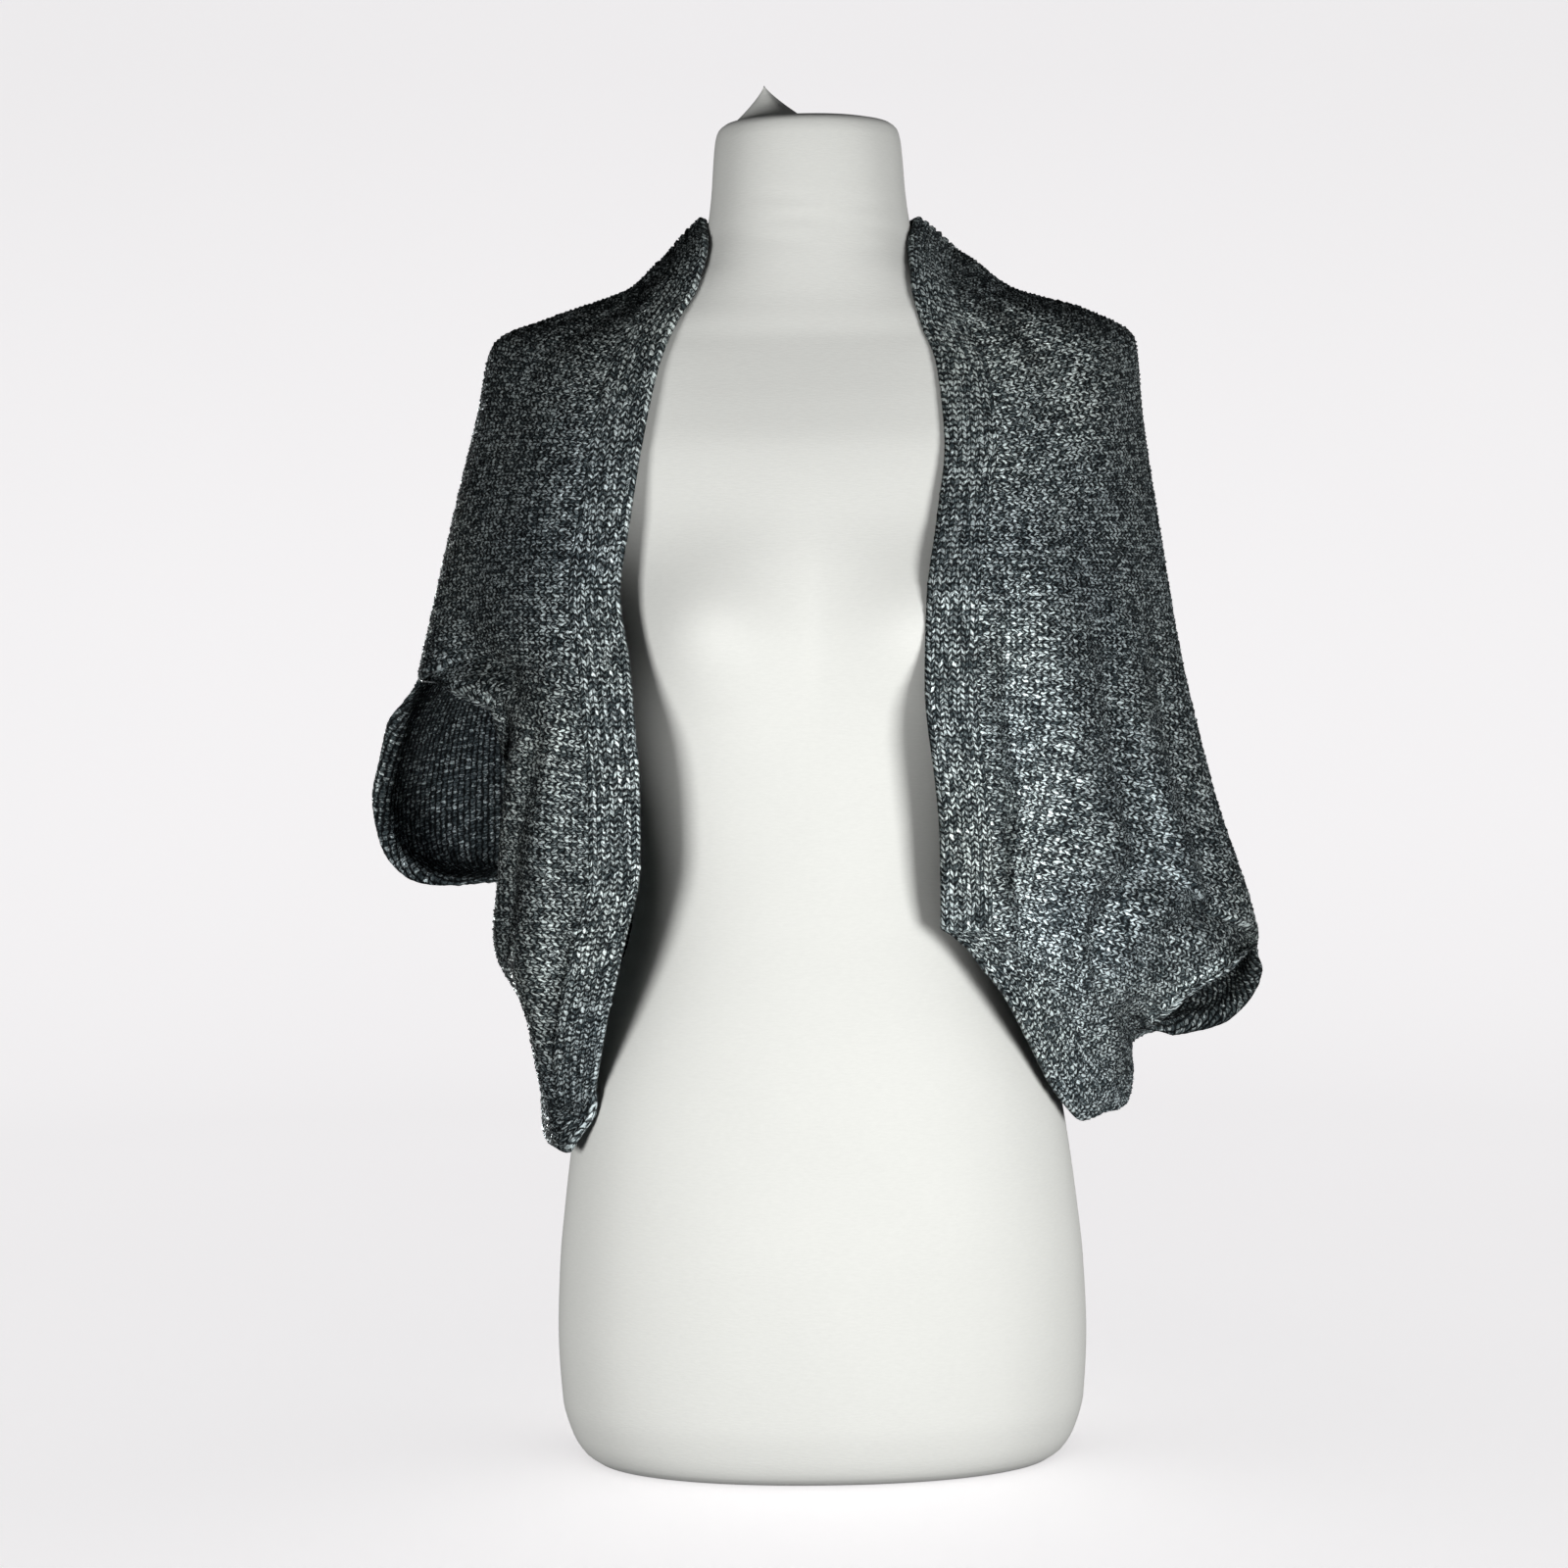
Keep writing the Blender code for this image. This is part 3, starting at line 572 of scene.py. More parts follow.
def loft(rings):
    """Points and faces of a closed body through level rings."""
    n = len(rings[0])
    faces = [tuple(range(n - 1, -1, -1))]
    for k in range(len(rings) - 1):
        faces += ring_quads(k * n, (k + 1) * n, n)
    top = (len(rings) - 1) * n
    faces.append(tuple(range(top, top + n)))
    return np.concatenate(rings), faces


RING_STEP = 3.5
foot_heights = [0.0, 1.5, 3.0]
top_heights = np.linspace(765.0, 776.0, 9)
form_heights = np.concatenate([foot_heights, np.arange(5.0, top_heights[0], RING_STEP), top_heights])
form_points, form_faces = loft([form_ring(height, FORM_RING_POINTS) for height in form_heights])
form = add_object("form", form_points, form_faces, [jersey], sharp=60)
print("form:", triangle_count(form), "triangles")

# %% [markdown]
# ### The cover's point
# Where the cover is gathered at the top of the neck, a small point of jersey stands up. It is a thin
# hollow fold.

# %% Cover point
PEAK = {"x": -21.0, "y": -10.0, "half_width": 22.5, "half_depth": 11.0, "tip_x": -25.0, "tip_y": -12.0}
PEAK_BASE = 775.6
PEAK_TIP = 797.0
PEAK_WALL = 1.2
PEAK_TAPER = 1.25
PEAK_PLEATS = 5
PLEAT_DEPTH = 0.07
SIDE_DEPTH = 0.35
INSET_X = 1.6
INSET_TIP = 1.8


def peak_ring(share, inward, count):
    """One ring of the cover's point, hollow-sided between its foot and its tip."""
    turn = 2 * math.pi * np.arange(count) / count
    size = (1 - share) ** PEAK_TAPER
    pleat = 1 + PLEAT_DEPTH * np.sin(turn * PEAK_PLEATS + 1.0) * (1 - share)
    reach_x = (PEAK["half_width"] - inward * INSET_X) * size * pleat
    depth = SIDE_DEPTH + (1 - SIDE_DEPTH) * np.abs(np.sin(turn))
    reach_y = (PEAK["half_depth"] - inward) * size * depth * pleat
    x = PEAK["x"] + (PEAK["tip_x"] - PEAK["x"]) * share + reach_x * np.cos(turn)
    y = PEAK["y"] + (PEAK["tip_y"] - PEAK["y"]) * share + reach_y * np.sin(turn)
    tip = PEAK_TIP - inward * INSET_TIP
    return np.stack([x, y, np.full(count, PEAK_BASE + (tip - PEAK_BASE) * share)], axis=1)


def make_peak(material):
    """A thin hollow fold of jersey, open underneath."""
    n = 64
    steps = 14
    points = []
    faces = []
    for inward in (0.0, PEAK_WALL):
        start = len(points)
        for k in range(steps):
            points.extend(peak_ring(k / steps, inward, n))
        points.append(np.mean(peak_ring(1.0, inward, n), axis=0))
        skin = []
        for k in range(steps - 1):
            skin += ring_quads(start + k * n, start + (k + 1) * n, n)
        row = start + (steps - 1) * n
        skin += [(row + i, row + (i + 1) % n, row + n) for i in range(n)]
        faces += [face[::-1] for face in skin] if inward else skin
    inner = steps * n + 1
    faces += [((i + 1) % n, i, inner + i, inner + (i + 1) % n) for i in range(n)]
    return add_object("cover_point", points, faces, [material])


cover_point = make_peak(jersey)
print("cover point:", triangle_count(cover_point), "triangles")

# %% [markdown]
# ## The cut of the garment
# These tables are the garment's shape as it hangs. Each row of a front runs from the band's seam, over
# the fullest place of the panel, to the side. The back's rows join the two sides. The cuffs are the open
# ends of the sleeves.

# %% Rows of the fronts
WALL = 2.6
BAND_WIDTH = 29.0
FRONT_COLUMNS = (
    "edge_x", "edge_y", "edge_z", "out", "back", "up",
    "crest_x", "crest_y", "side_x", "side_y", "side_z",
)
RIGHT_FRONT = (
    (61, 0, 724, 0.69, 0, -0.72, 81, 0, 81, 0, 703),
    (59, -28, 705, 0.75, -0.10, -0.65, 87, -17, 91, 0, 692.5),
    (64, -44, 680.5, 0.90, 0, -0.40, 98, -25, 103, 0, 681.5),
    (76.5, -58, 656.5, 0.97, 0.08, -0.25, 127, -38, 146, 0, 666),
    (85.5, -68, 633.5, 0.99, 0.10, -0.13, 151, -46, 182.5, 0, 650.5),
    (95, -84, 588.5, 1, 0.12, -0.05, 163.5, -56, 193, 0, 607),
    (102, -92, 545, 1, 0.10, 0, 175.5, -62, 210, -3, 537.5),
    (108, -96, 501.5, 1, 0.05, 0, 186, -66, 227.5, -20, 457),
    (103, -98, 463.5, 1, 0.02, 0, 170, -80, 202.5, -52, 452.5),
    (100.5, -98, 425.5, 1, 0, 0, 162, -91, 178, -62, 445.5),
    (98.5, -95, 392, 1, 0, -0.02, 170, -82, 167, -38, 401),
    (99, -91, 350, 1, -0.04, -0.05, 177, -66, 157.5, -4, 345.5),
    (108.5, -83, 306.5, 1, -0.10, -0.08, 182, -56, 161.5, 4, 303),
    (119.5, -71, 262.5, 0.96, 0.08, -0.18, 165, -50, 159.5, 8, 256),
    (128.5, -54, 223, 0.72, 0.52, -0.45, 160, -16, 159, 10, 219.5),
)
LEFT_FRONT = (
    (62.5, 0, 722.5, 0.75, 0, -0.66, 84.5, 0, 84.5, 0, 703),
    (57.5, -31, 703, 0.75, -0.08, -0.65, 90.5, -18, 95.5, 0, 695),
    (57.5, -50, 678.5, 0.90, -0.03, -0.40, 106, -30, 116.5, 0, 679),
    (62, -59, 655, 0.97, 0, -0.22, 135, -43, 161, 0, 665),
    (70, -69, 631.5, 0.99, 0.05, -0.10, 156, -50, 187.5, 0, 648),
    (73.5, -86, 586, 1, 0.08, 0, 160, -61, 191, 0, 605.5),
    (68, -98, 542.5, 1, 0.06, 0, 160, -70, 200.5, -2, 536.5),
    (61.5, -115, 498.5, 1, 0.14, 0, 159.5, -82, 211, -3, 464.5),
    (60, -113, 447, 1, 0.20, -0.05, 166, -88, 228.5, -4, 384.5),
    (65.5, -103, 395, 1, 0.20, -0.08, 176, -88, 256, -3, 301),
    (67.5, -98, 371.5, 1, 0.16, -0.08, 166, -91, 232.5, -45, 289),
    (68, -94, 349.5, 1, 0.14, -0.08, 156, -88, 203.5, -48, 271.5),
    (68, -91, 330, 1, 0.06, -0.08, 150, -74, 182, 5, 239),
    (68, -86, 313, 1, 0.05, -0.04, 138, -63, 184, 15, 222),
)
SIGNS = {"right": -1.0, "left": 1.0}
FRONTS = {"right": table(FRONT_COLUMNS, RIGHT_FRONT), "left": table(FRONT_COLUMNS, LEFT_FRONT)}
print("front rows:", len(RIGHT_FRONT), "and", len(LEFT_FRONT))

# %% [markdown]
# A cuff is the stretch of rows where front and back don't meet. Its back edge has a table of its own,
# from the top of the cuff to the underarm.

# %% Back edges of the cuffs
CUFF_ROWS = {"right": (7, 11), "left": (9, 12)}
CUFF_COLUMNS = ("along", "x", "y", "z")
RIGHT_CUFF_BACK = (
    (0, 227.5, -20, 457),
    (0.20, 241.5, 6, 432),
    (0.38, 249.5, 20, 407),
    (0.52, 255, 28, 384),
    (0.66, 251.5, 34, 361),
    (0.78, 235, 36, 344),
    (0.88, 211, 31, 338),
    (0.95, 184, 16, 339),
    (1, 157.5, -4, 345.5),
)
LEFT_CUFF_BACK = (
    (0, 256, -3, 301),
    (0.26, 255, 22, 273),
    (0.47, 243, 36, 256),
    (0.65, 222.5, 38, 250),
    (0.84, 201, 28, 247.5),
    (1, 182, 5, 239),
)
CUFF_BACKS = {"right": table(CUFF_COLUMNS, RIGHT_CUFF_BACK), "left": table(CUFF_COLUMNS, LEFT_CUFF_BACK)}
print("cuffs between the rows:", CUFF_ROWS)

# %% [markdown]
# Each section of the back says which row of each front it meets, and where the back is fullest on each
# side and in the middle.

# %% Sections of the back
BACK_COLUMNS = (
    "right_row", "left_row", "right_crest_x", "right_crest_y",
    "centre_y", "centre_z", "left_crest_x", "left_crest_y",
)
BACK_SECTIONS = (
    (0, 0, 60.5, 46, 68, 699, 64, 46),
    (2, 2, 80.5, 52, 75, 676.5, 87, 52),
    (4, 4, 146, 55, 87, 637.5, 153, 55),
    (5, 5, 150, 72, 103, 593, 153, 72),
    (7, 7, 164.5, 86, 111, 463.5, 161.5, 84),
    (11, 8.5, 183.5, 94, 112, 345, 169.5, 86),
    (12, 9, 132.5, 92, 113, 301, 197.5, 76),
    (13, 12, 130, 86, 117, 245, 151.5, 82),
    (14, 13, 131, 86, 119, 215, 151.5, 80),
)
BACK = table(BACK_COLUMNS, BACK_SECTIONS)
print("back sections:", len(BACK_SECTIONS))

# %% [markdown]
# The neck's edge is an oval that rises at the back. The hem's edge is given by how far it is from the
# panel's last row: outward, backward and up.

# %% Edges of the neck and the hem
NECK_EDGE = {"half_width": 62.0, "back": 58.0, "side_z": 722.5, "back_z": 726.0}
HEM_COLUMNS = ("along", "out", "back", "up")
RIGHT_HEM = (
    (0, -21, -15, 13),
    (0.3, -11, -17, -27),
    (0.65, -3, -6, -30),
    (1, 2, 2, -29),
)
LEFT_HEM = (
    (0, -29, -1.4, 1.2),
    (0.3, -20, -2, -19),
    (0.65, -18, -3, -25),
    (1, -3, 1, -20),
)
HEMS = {"right": table(HEM_COLUMNS, RIGHT_HEM), "left": table(HEM_COLUMNS, LEFT_HEM)}
print("neck edge:", NECK_EDGE)

# %% [markdown]
# ### Folds
# Heavy knitting doesn't crease, it rolls into soft ridges and troughs. Each is one line of a table: where
# it starts and ends across the panel (0 at the band, 1 at the side), its first and last row, and how wide
# and high it is. A height below zero is a trough. The left front also hangs down a little at its last
# rows, which rounds its corner.

# %% Folds placed one by one
FOLDS = {
    "right": (
        (0.35, 0.45, 1.5, 5, 0.10, -4),
        (0.66, 0.60, 5.8, 9.4, 0.15, -15),
        (0.22, 0.22, 7, 13.4, 0.09, 4),
        (0.42, 0.40, 8.4, 13.6, 0.08, -6),
        (0.62, 0.58, 9, 13, 0.10, 4),
        (0.07, 0.10, 11, 15, 0.07, -11),
        (0.66, 0.66, 12, 14, 0.22, -6),
    ),
    "left": (
        (0.34, 0.26, 1, 5.5, 0.08, -5),
        (0.58, 0.50, 2, 6.5, 0.12, 4),
        (0.10, 0.12, 6, 14, 0.045, -17),
        (0.23, 0.25, 5.5, 14, 0.09, 7),
        (0.42, 0.53, 6, 13.2, 0.06, -13),
        (0.55, 0.64, 6.5, 11.5, 0.06, 4),
        (0.70, 0.76, 6, 11.2, 0.06, -8),
        (0.86, 0.90, 5, 11, 0.08, 4),
    ),
    "back": (
        (0.22, 0.22, 3, 9, 0.07, -5),
        (0.36, 0.36, 4, 9.5, 0.06, 4),
        (0.60, 0.60, 3.5, 9.5, 0.07, 5),
        (0.77, 0.77, 3, 9, 0.06, -5),
    ),
}
print("folds:", {name: len(rows) for name, rows in FOLDS.items()})

# %% [markdown]
# A fold swells and fades along its length, and it stays low near the band and near the side, where the
# cloth is held.

# %% Heights of the folds
FOLD_RISE = {"right": 30, "left": 30, "back": 12}
FOLD_RISE_AT_SIDE = 8
LEFT_SAG = (0.0, 6.0, 15.0, 23.0, 22.0, 7.0, 0.0)
FIRST_SAGGING_ROW = 10
SAG_POWER = 1.5


def fold_height(name, across, row):
    """How far the folds of one panel stand out at each place across a row."""
    total = np.zeros_like(across)
    for start, end, first, last, width, height in FOLDS[name]:
        level = np.clip((row - first) / (last - first), 0, 1)
        middle = start + (end - start) * level
        total += height * math.sin(math.pi * level) ** 2 * bump(across, middle, width)
    start_rise = np.clip(across * FOLD_RISE[name], 0, 1)
    return total * start_rise * np.clip((1 - across) * FOLD_RISE_AT_SIDE, 0, 1)


def left_sag(across, row):
    """How far the last rows of the left front hang down between the band and the side."""
    last = len(FRONTS["left"]["edge_x"]) - 1
    level = np.clip((row - FIRST_SAGGING_ROW) / (last - FIRST_SAGGING_ROW), 0, 1)
    return level**SAG_POWER * smooth_through(across, np.linspace(0, 1, len(LEFT_SAG)), LEFT_SAG)


print("middle of the left hem sags by", float(left_sag(0.5, len(LEFT_FRONT) - 1)), "mm")

# %% [markdown]
# ### Reading the tables as surfaces
# Between the rows, the same smooth curves fill in, so the cloth can be sampled as finely as its loops
# need.

# %% Rows of the panels


def front_value(side, names, row):
    """Columns of a front panel's table at any row, as a point."""
    values = FRONTS[side]
    rows = np.arange(len(values["edge_x"]))
    return np.array([smooth_through(row, rows, values[name]) for name in names])


def back_value(name, place):
    """A column of the back's table at any place between its rows."""
    return float(smooth_through(place, np.arange(len(BACK_SECTIONS)), BACK[name]))


def side_row(side, place):
    """The front panel's row that meets the back at this place."""
    return float(np.interp(place, np.arange(len(BACK_SECTIONS)), BACK[side + "_row"]))


def back_crest(side, place):
    """The back's crest on one side, with x outward."""
    return np.array([back_value(side + "_crest_x", place), back_value(side + "_crest_y", place)])


def is_cuff(side, row):
    """Whether this row ends at the open cuff."""
    first, last = CUFF_ROWS[side]
    return first + 1e-6 < row < last - 1e-6


print("back section 5 meets right row", side_row("right", 5), "and left row", side_row("left", 5))

# %% [markdown]
# A row of cloth needs only three places: the seam, the fullest place and the other side. A curve joins
# them with the right slope at both ends, and is then cut into equal steps.

# %% Curves through a few points
DENSE_POINTS = 400
OUTWARD = np.array([0.55, 1.0, 0.0])


def curve_through(points, start_way, end_way, count):
    """Evenly spaced points of a smooth curve through a few points."""
    points = np.asarray(points, float)
    spans = np.linalg.norm(np.diff(points, axis=0), axis=1)
    if spans.sum() < 1e-6:
        return np.repeat(points[:1], count + 1, axis=0)
    knots = np.concatenate([[0], np.cumsum(spans)])
    ways = np.zeros_like(points)
    ways[1:-1] = (points[2:] - points[:-2]) / (knots[2:] - knots[:-2])[:, None]
    ways[0] = start_way
    ways[-1] = end_way
    at = np.linspace(0, knots[-1], DENSE_POINTS)
    i = np.clip(np.searchsorted(knots, at) - 1, 0, len(spans) - 1)
    t = ((at - knots[i]) / spans[i])[:, None]
    dense = from_knot(i, t, spans[i][:, None], points, ways)
    run = np.concatenate([[0], np.cumsum(np.linalg.norm(np.diff(dense, axis=0), axis=1))])
    wanted = np.linspace(0, run[-1], count + 1)
    return np.stack([np.interp(wanted, run, dense[:, k]) for k in range(3)], axis=1)


def with_height(points):
    """Gives the inner points of a row their heights, in step with the distance along it."""
    points = np.asarray(points, float)
    spans = np.linalg.norm(np.diff(points[:, :2], axis=0), axis=1)
    along = np.concatenate([[0], np.cumsum(spans)]) / max(spans.sum(), 1e-9)
    points[:, 2] = points[0, 2] + along * (points[-1, 2] - points[0, 2])
    return points


def outward(points):
    """The level direction away from the form's middle."""
    return unit(points * OUTWARD)


along_x = (1, 0, 0)
print("thirds of a straight row:", curve_through(((0, 0, 0), (9, 0, 0)), along_x, along_x, 3)[:, 0].round(2))

# %% [markdown]
# Where front and back meet, both take the direction from crest to crest, so the side has no corner. At a
# cuff each ends in its own direction.

# %% One row of a panel
CUFF_BACK_LEAN = np.array([0.2, 1.0, 0.0])


def band_edge(side, row):
    """A point of the opening's edge, the band's direction there and its seam point."""
    edge = front_value(side, ("edge_x", "edge_y", "edge_z"), row)
    way = unit(front_value(side, ("out", "back", "up"), row))
    return edge, way, edge + way * BAND_WIDTH


def front_row(side, row, place, count):
    """One row of a front panel, from the band's seam to the side, with x outward."""
    _, way, seam = band_edge(side, row)
    crest = front_value(side, ("crest_x", "crest_y", "side_z"), row)
    end = front_value(side, ("side_x", "side_y", "side_z"), row)
    points = with_height([seam, crest, end])
    arrive = np.append(back_crest(side, place) - crest[:2], 0.0)
    if is_cuff(side, row):
        arrive = end - points[1]
    curve = curve_through(points, way, unit(arrive), count)
    across = np.linspace(0, 1, count + 1)
    if side == "left":
        curve[:, 2] -= left_sag(across, row)
    return curve + outward(curve) * fold_height(side, across, row)[:, None]


def side_point(side, row):
    """The end of the back's row at the side seam, or on the back edge of the cuff."""
    if is_cuff(side, row):
        first, last = CUFF_ROWS[side]
        cuff = CUFF_BACKS[side]
        along = (row - first) / (last - first)
        return np.array([float(smooth_through(along, cuff["along"], cuff[k])) for k in "xyz"])
    if row < 1e-6:
        return band_edge(side, 0.0)[2]
    return front_value(side, ("side_x", "side_y", "side_z"), row)


def back_row(place, count):
    """One row of the back, from the wearer's right side to the left."""
    halves = []
    centre = np.array([0.0, back_value("centre_y", place), back_value("centre_z", place)])
    for side in ("right", "left"):
        row = side_row(side, place)
        end = side_point(side, row)
        crest = np.append(back_crest(side, place), 0.0)
        points = with_height([end, crest, centre])
        front_crest = front_value(side, ("crest_x", "crest_y"), row)
        leave = np.append(crest[:2] - front_crest, 0.0)
        if is_cuff(side, row):
            leave = unit(points[1] - end) + CUFF_BACK_LEAN
        elif row < 1e-6:
            leave = np.array([0.0, 1.0, 0.0])
        halves.append(curve_through(points, unit(leave), np.array([-1.0, 0.0, 0.0]), count // 2))
    sign = np.array([-1.0, 1.0, 1.0])
    whole = np.concatenate([halves[0] * sign, halves[1][-2::-1]])
    across = np.linspace(0, 1, count + 1)
    return whole + outward(whole) * fold_height("back", across, place)[:, None]


print("right cuff starts at", side_point("right", CUFF_ROWS["right"][0]), "mm")

# %% [markdown]
# Rows about 3 mm apart are close enough for every fold. The bands are strips between the opening's edge
# and the seam.

# %% Fine grids of the cloth
ROWS_BETWEEN = (14, 18, 18, 42, 38, 18, 20, 12)
SECOND_PLACE = 0.1
FRONT_STEPS = 120
BACK_STEPS = 240


def row_places():
    """Places between the back's sections at which every panel has a row."""
    places = [section + (k + 1) / steps for section, steps in enumerate(ROWS_BETWEEN) for k in range(steps)]
    return [0.0, SECOND_PLACE] + [place for place in places if place > SECOND_PLACE]


PLACES = row_places()
print("rows of every panel:", len(PLACES))

# %% [markdown]
# Each front gives a grid for its panel and a strip for the band beside it. The neck and the hem give
# strips too.

# %% Grids and edges
CORNER_BLEND = 3
SIDE_BLEND = 4


def front_grids(side):
    """Grid of a front panel's points, and of the band beside it, in the shared frame."""
    sign = np.array([SIGNS[side], 1.0, 1.0])
    panel = []
    band = []
    for place in PLACES:
        row = side_row(side, place)
        edge, _, seam = band_edge(side, row)
        panel.append(front_row(side, row, place, FRONT_STEPS) * sign)
        band.append([edge * sign, seam * sign])
    return np.array(panel), np.array(band)


def neck_ring(count):
    """The opening's edge around the back of the neck, from right to left."""
    turn = np.linspace(math.pi, 0, count + 1)
    rise = NECK_EDGE["back_z"] - NECK_EDGE["side_z"]
    x = NECK_EDGE["half_width"] * np.cos(turn)
    y = NECK_EDGE["back"] * np.sin(turn)
    return np.stack([x, y, NECK_EDGE["side_z"] + rise * np.sin(turn) ** 2], axis=1)


def hem_edge(side, seam, start):
    """The hem's edge below the last row of a front panel, from where the front band ends."""
    along = np.linspace(0, 1, len(seam))
    hem = HEMS[side]
    reach = [smooth_through(along, hem["along"], hem[name]) for name in ("out", "back", "up")]
    edge = seam + np.stack(reach, axis=1) * np.array([SIGNS[side], 1.0, 1.0])
    return edge + (start - edge[0]) * np.clip(1 - CORNER_BLEND * along, 0, 1)[:, None]


right_panel, right_band = front_grids("right")
left_panel, left_band = front_grids("left")
back_panel = np.array([back_row(place, BACK_STEPS) for place in PLACES])
neck = np.stack([neck_ring(BACK_STEPS), back_panel[0]], axis=1)
opening = np.concatenate([right_band[::-1], neck[1:-1], left_band])
right_edge = hem_edge("right", right_panel[-1], right_band[-1, 0])
left_edge = hem_edge("left", left_panel[-1], left_band[-1, 0])
back_edge = back_panel[-1] + np.array([0.0, 0.0, -BAND_WIDTH])
share = np.linspace(0, 1, BACK_STEPS + 1)[:, None]
back_edge = back_edge + (right_edge[-1] - back_edge[0]) * np.clip(1 - SIDE_BLEND * share, 0, 1)
back_edge = back_edge + (left_edge[-1] - back_edge[-1]) * np.clip(SIDE_BLEND * share - (SIDE_BLEND - 1), 0, 1)
hem_outer = np.concatenate([right_edge, back_edge[1:-1], left_edge[::-1]])
hem_seam = np.concatenate([right_panel[-1], back_panel[-1][1:-1], left_panel[-1][::-1]])
hem = np.stack([hem_outer, hem_seam], axis=1)
right_panel, left_panel = right_panel[1:], left_panel[1:]
print("grids:", right_panel.shape, left_panel.shape, back_panel.shape, opening.shape, hem.shape)

# %% [markdown]
# ### Which way the cloth faces
# Each grid gets its outward direction from its own slope. Along a seam, both pieces take the average, so
# their edges meet exactly.

# %% Outward directions


def facing(grid, flip):
    """Outward direction at every point of a grid."""
    down = np.gradient(grid, axis=0)
    across = np.gradient(grid, axis=1)
    return unit(np.cross(down, across) * flip)


def strip_facing(strip, flip):
    """Outward direction along both edges of a band."""
    along = np.gradient(strip, axis=0)
    across = np.repeat(strip[:, 1:] - strip[:, :1], 2, axis=1)
    return unit(np.cross(along, across) * flip)


def share_edge(first, second):
    """Gives two edges the average of their directions."""
    both = unit(first + second)
    first[...] = both
    second[...] = both


normals = {
    "right": facing(right_panel, -1),
    "left": facing(left_panel, 1),
    "back": facing(back_panel, -1),
    "opening": strip_facing(opening, 1),
    "hem": strip_facing(hem, -1),
}
for side, end in (("right", 0), ("left", -1)):
    for k, place in enumerate(PLACES[1:]):
        if not is_cuff(side, side_row(side, place)):
            share_edge(normals[side][k, -1], normals["back"][k + 1, end])
count = len(PLACES)
share_edge(normals["opening"][: count - 1, 1], normals["right"][::-1, 0])
share_edge(normals["opening"][-(count - 1) :, 1], normals["left"][:, 0])
share_edge(normals["opening"][count : count + BACK_STEPS - 1, 1], normals["back"][0, 1:-1])
share_edge(normals["hem"][:FRONT_STEPS, 1], normals["right"][-1, :FRONT_STEPS])
share_edge(normals["hem"][-FRONT_STEPS:, 1], normals["left"][-1, FRONT_STEPS - 1 :: -1])
share_edge(normals["hem"][FRONT_STEPS + 1 : -(FRONT_STEPS + 1), 1], normals["back"][-1, 1:-1])
print("directions shared along the seams")

# %% [markdown]
# ## Knitting the panels
# Every loop is the same size, so the loops of a panel form an even net that bends with the cloth. The net
# is found by fitting two smooth numbers over the panel: one counts the columns of loops from top to
# bottom, the other counts the loops along a column. Each wants to grow by one over the size of a loop, in
# the direction in which the photographed knitting runs, and the fit shares out what can't be met, just as
# hanging cloth stretches a little here and there. The droops say how steeply the columns fall, in
# degrees, near the middle and at the side, by height.

# %% Which way the columns run
SIDE_POWER = 1.5
COLUMN_WIDTH = 4.4
LOOP_LENGTH = 3.5
LINES_PER_COLUMN = 4
START_PLACE = 3.75
DROOP_COLUMNS = ("height", "inner", "outer")
DROOPS = {
    "right": (
        (215, 0, 4), (336, -1, 2), (387, -9, -6), (439, -17, -4), (478, -6, 17),
        (508, 1, 16), (559, -2, 4), (611, -6, -2), (700, -8, -8),
    ),
    "left": (
        (215, 13, 20), (278, 13, 22), (336, 11, 22), (387, 7, 20), (422, 5, 14),
        (490, -2, 4), (559, -6, -2), (611, -10, -8), (700, -12, -12),
    ),
    "back": (
        (215, 0, 8), (336, 0, 9), (422, 0, 8), (490, 0, 2),
        (559, 0, -4), (611, 0, -8), (700, 0, -10),
    ),
}


def run_ways(name, grid, facing_grid):
    """Directions along the columns of loops and down across them, at every point of a grid."""
    across = np.gradient(grid, axis=1)
    across[..., 2] = 0
    level = unit(across)
    place = np.linspace(0, 1, grid.shape[1])[None]
    if name == "back":
        place = 2 * place - 1
    values = table(DROOP_COLUMNS, DROOPS[name])
    inner = smooth_through(grid[..., 2], values["height"], values["inner"])
    outer = smooth_through(grid[..., 2], values["height"], values["outer"])
    size = np.clip(np.abs(place), 0, 1) ** SIDE_POWER
    angle = np.radians((inner + (outer - inner) * size) * np.where(place < 0, -1, 1))
    way = level * np.cos(angle)[..., None] - np.array([0, 0, 1.0]) * np.sin(angle)[..., None]
    way = unit(way - (way * facing_grid).sum(-1, keepdims=True) * facing_grid)
    square = unit(np.cross(facing_grid, way))
    down = np.gradient(grid, axis=0)
    return way, square * np.sign((square * down).sum(-1, keepdims=True))


print("heights in the tables of droops:", {name: len(rows) for name, rows in DROOPS.items()})

# %% [markdown]
# ### Fitting a count over a grid
# This is a small least squares problem: every pair of neighbouring points states how much the count
# should change between them. Going downhill step by step, each step chosen at right angles to the last
# ones, settles it quickly.

# %% Fit
PULL_LIMITS = (0.02, 30)
LEAST_STEP = 0.01


def between(values):
    """Averages of neighbours down and across a grid."""
    return (values[1:] + values[:-1]) / 2, (values[:, 1:] + values[:, :-1]) / 2


def gather(down, across, shape):
    """Sums at each point what its neighbours ask of it."""
    total = np.zeros(shape)
    total[1:] += down
    total[:-1] -= down
    total[:, 1:] += across
    total[:, :-1] -= across
    return total


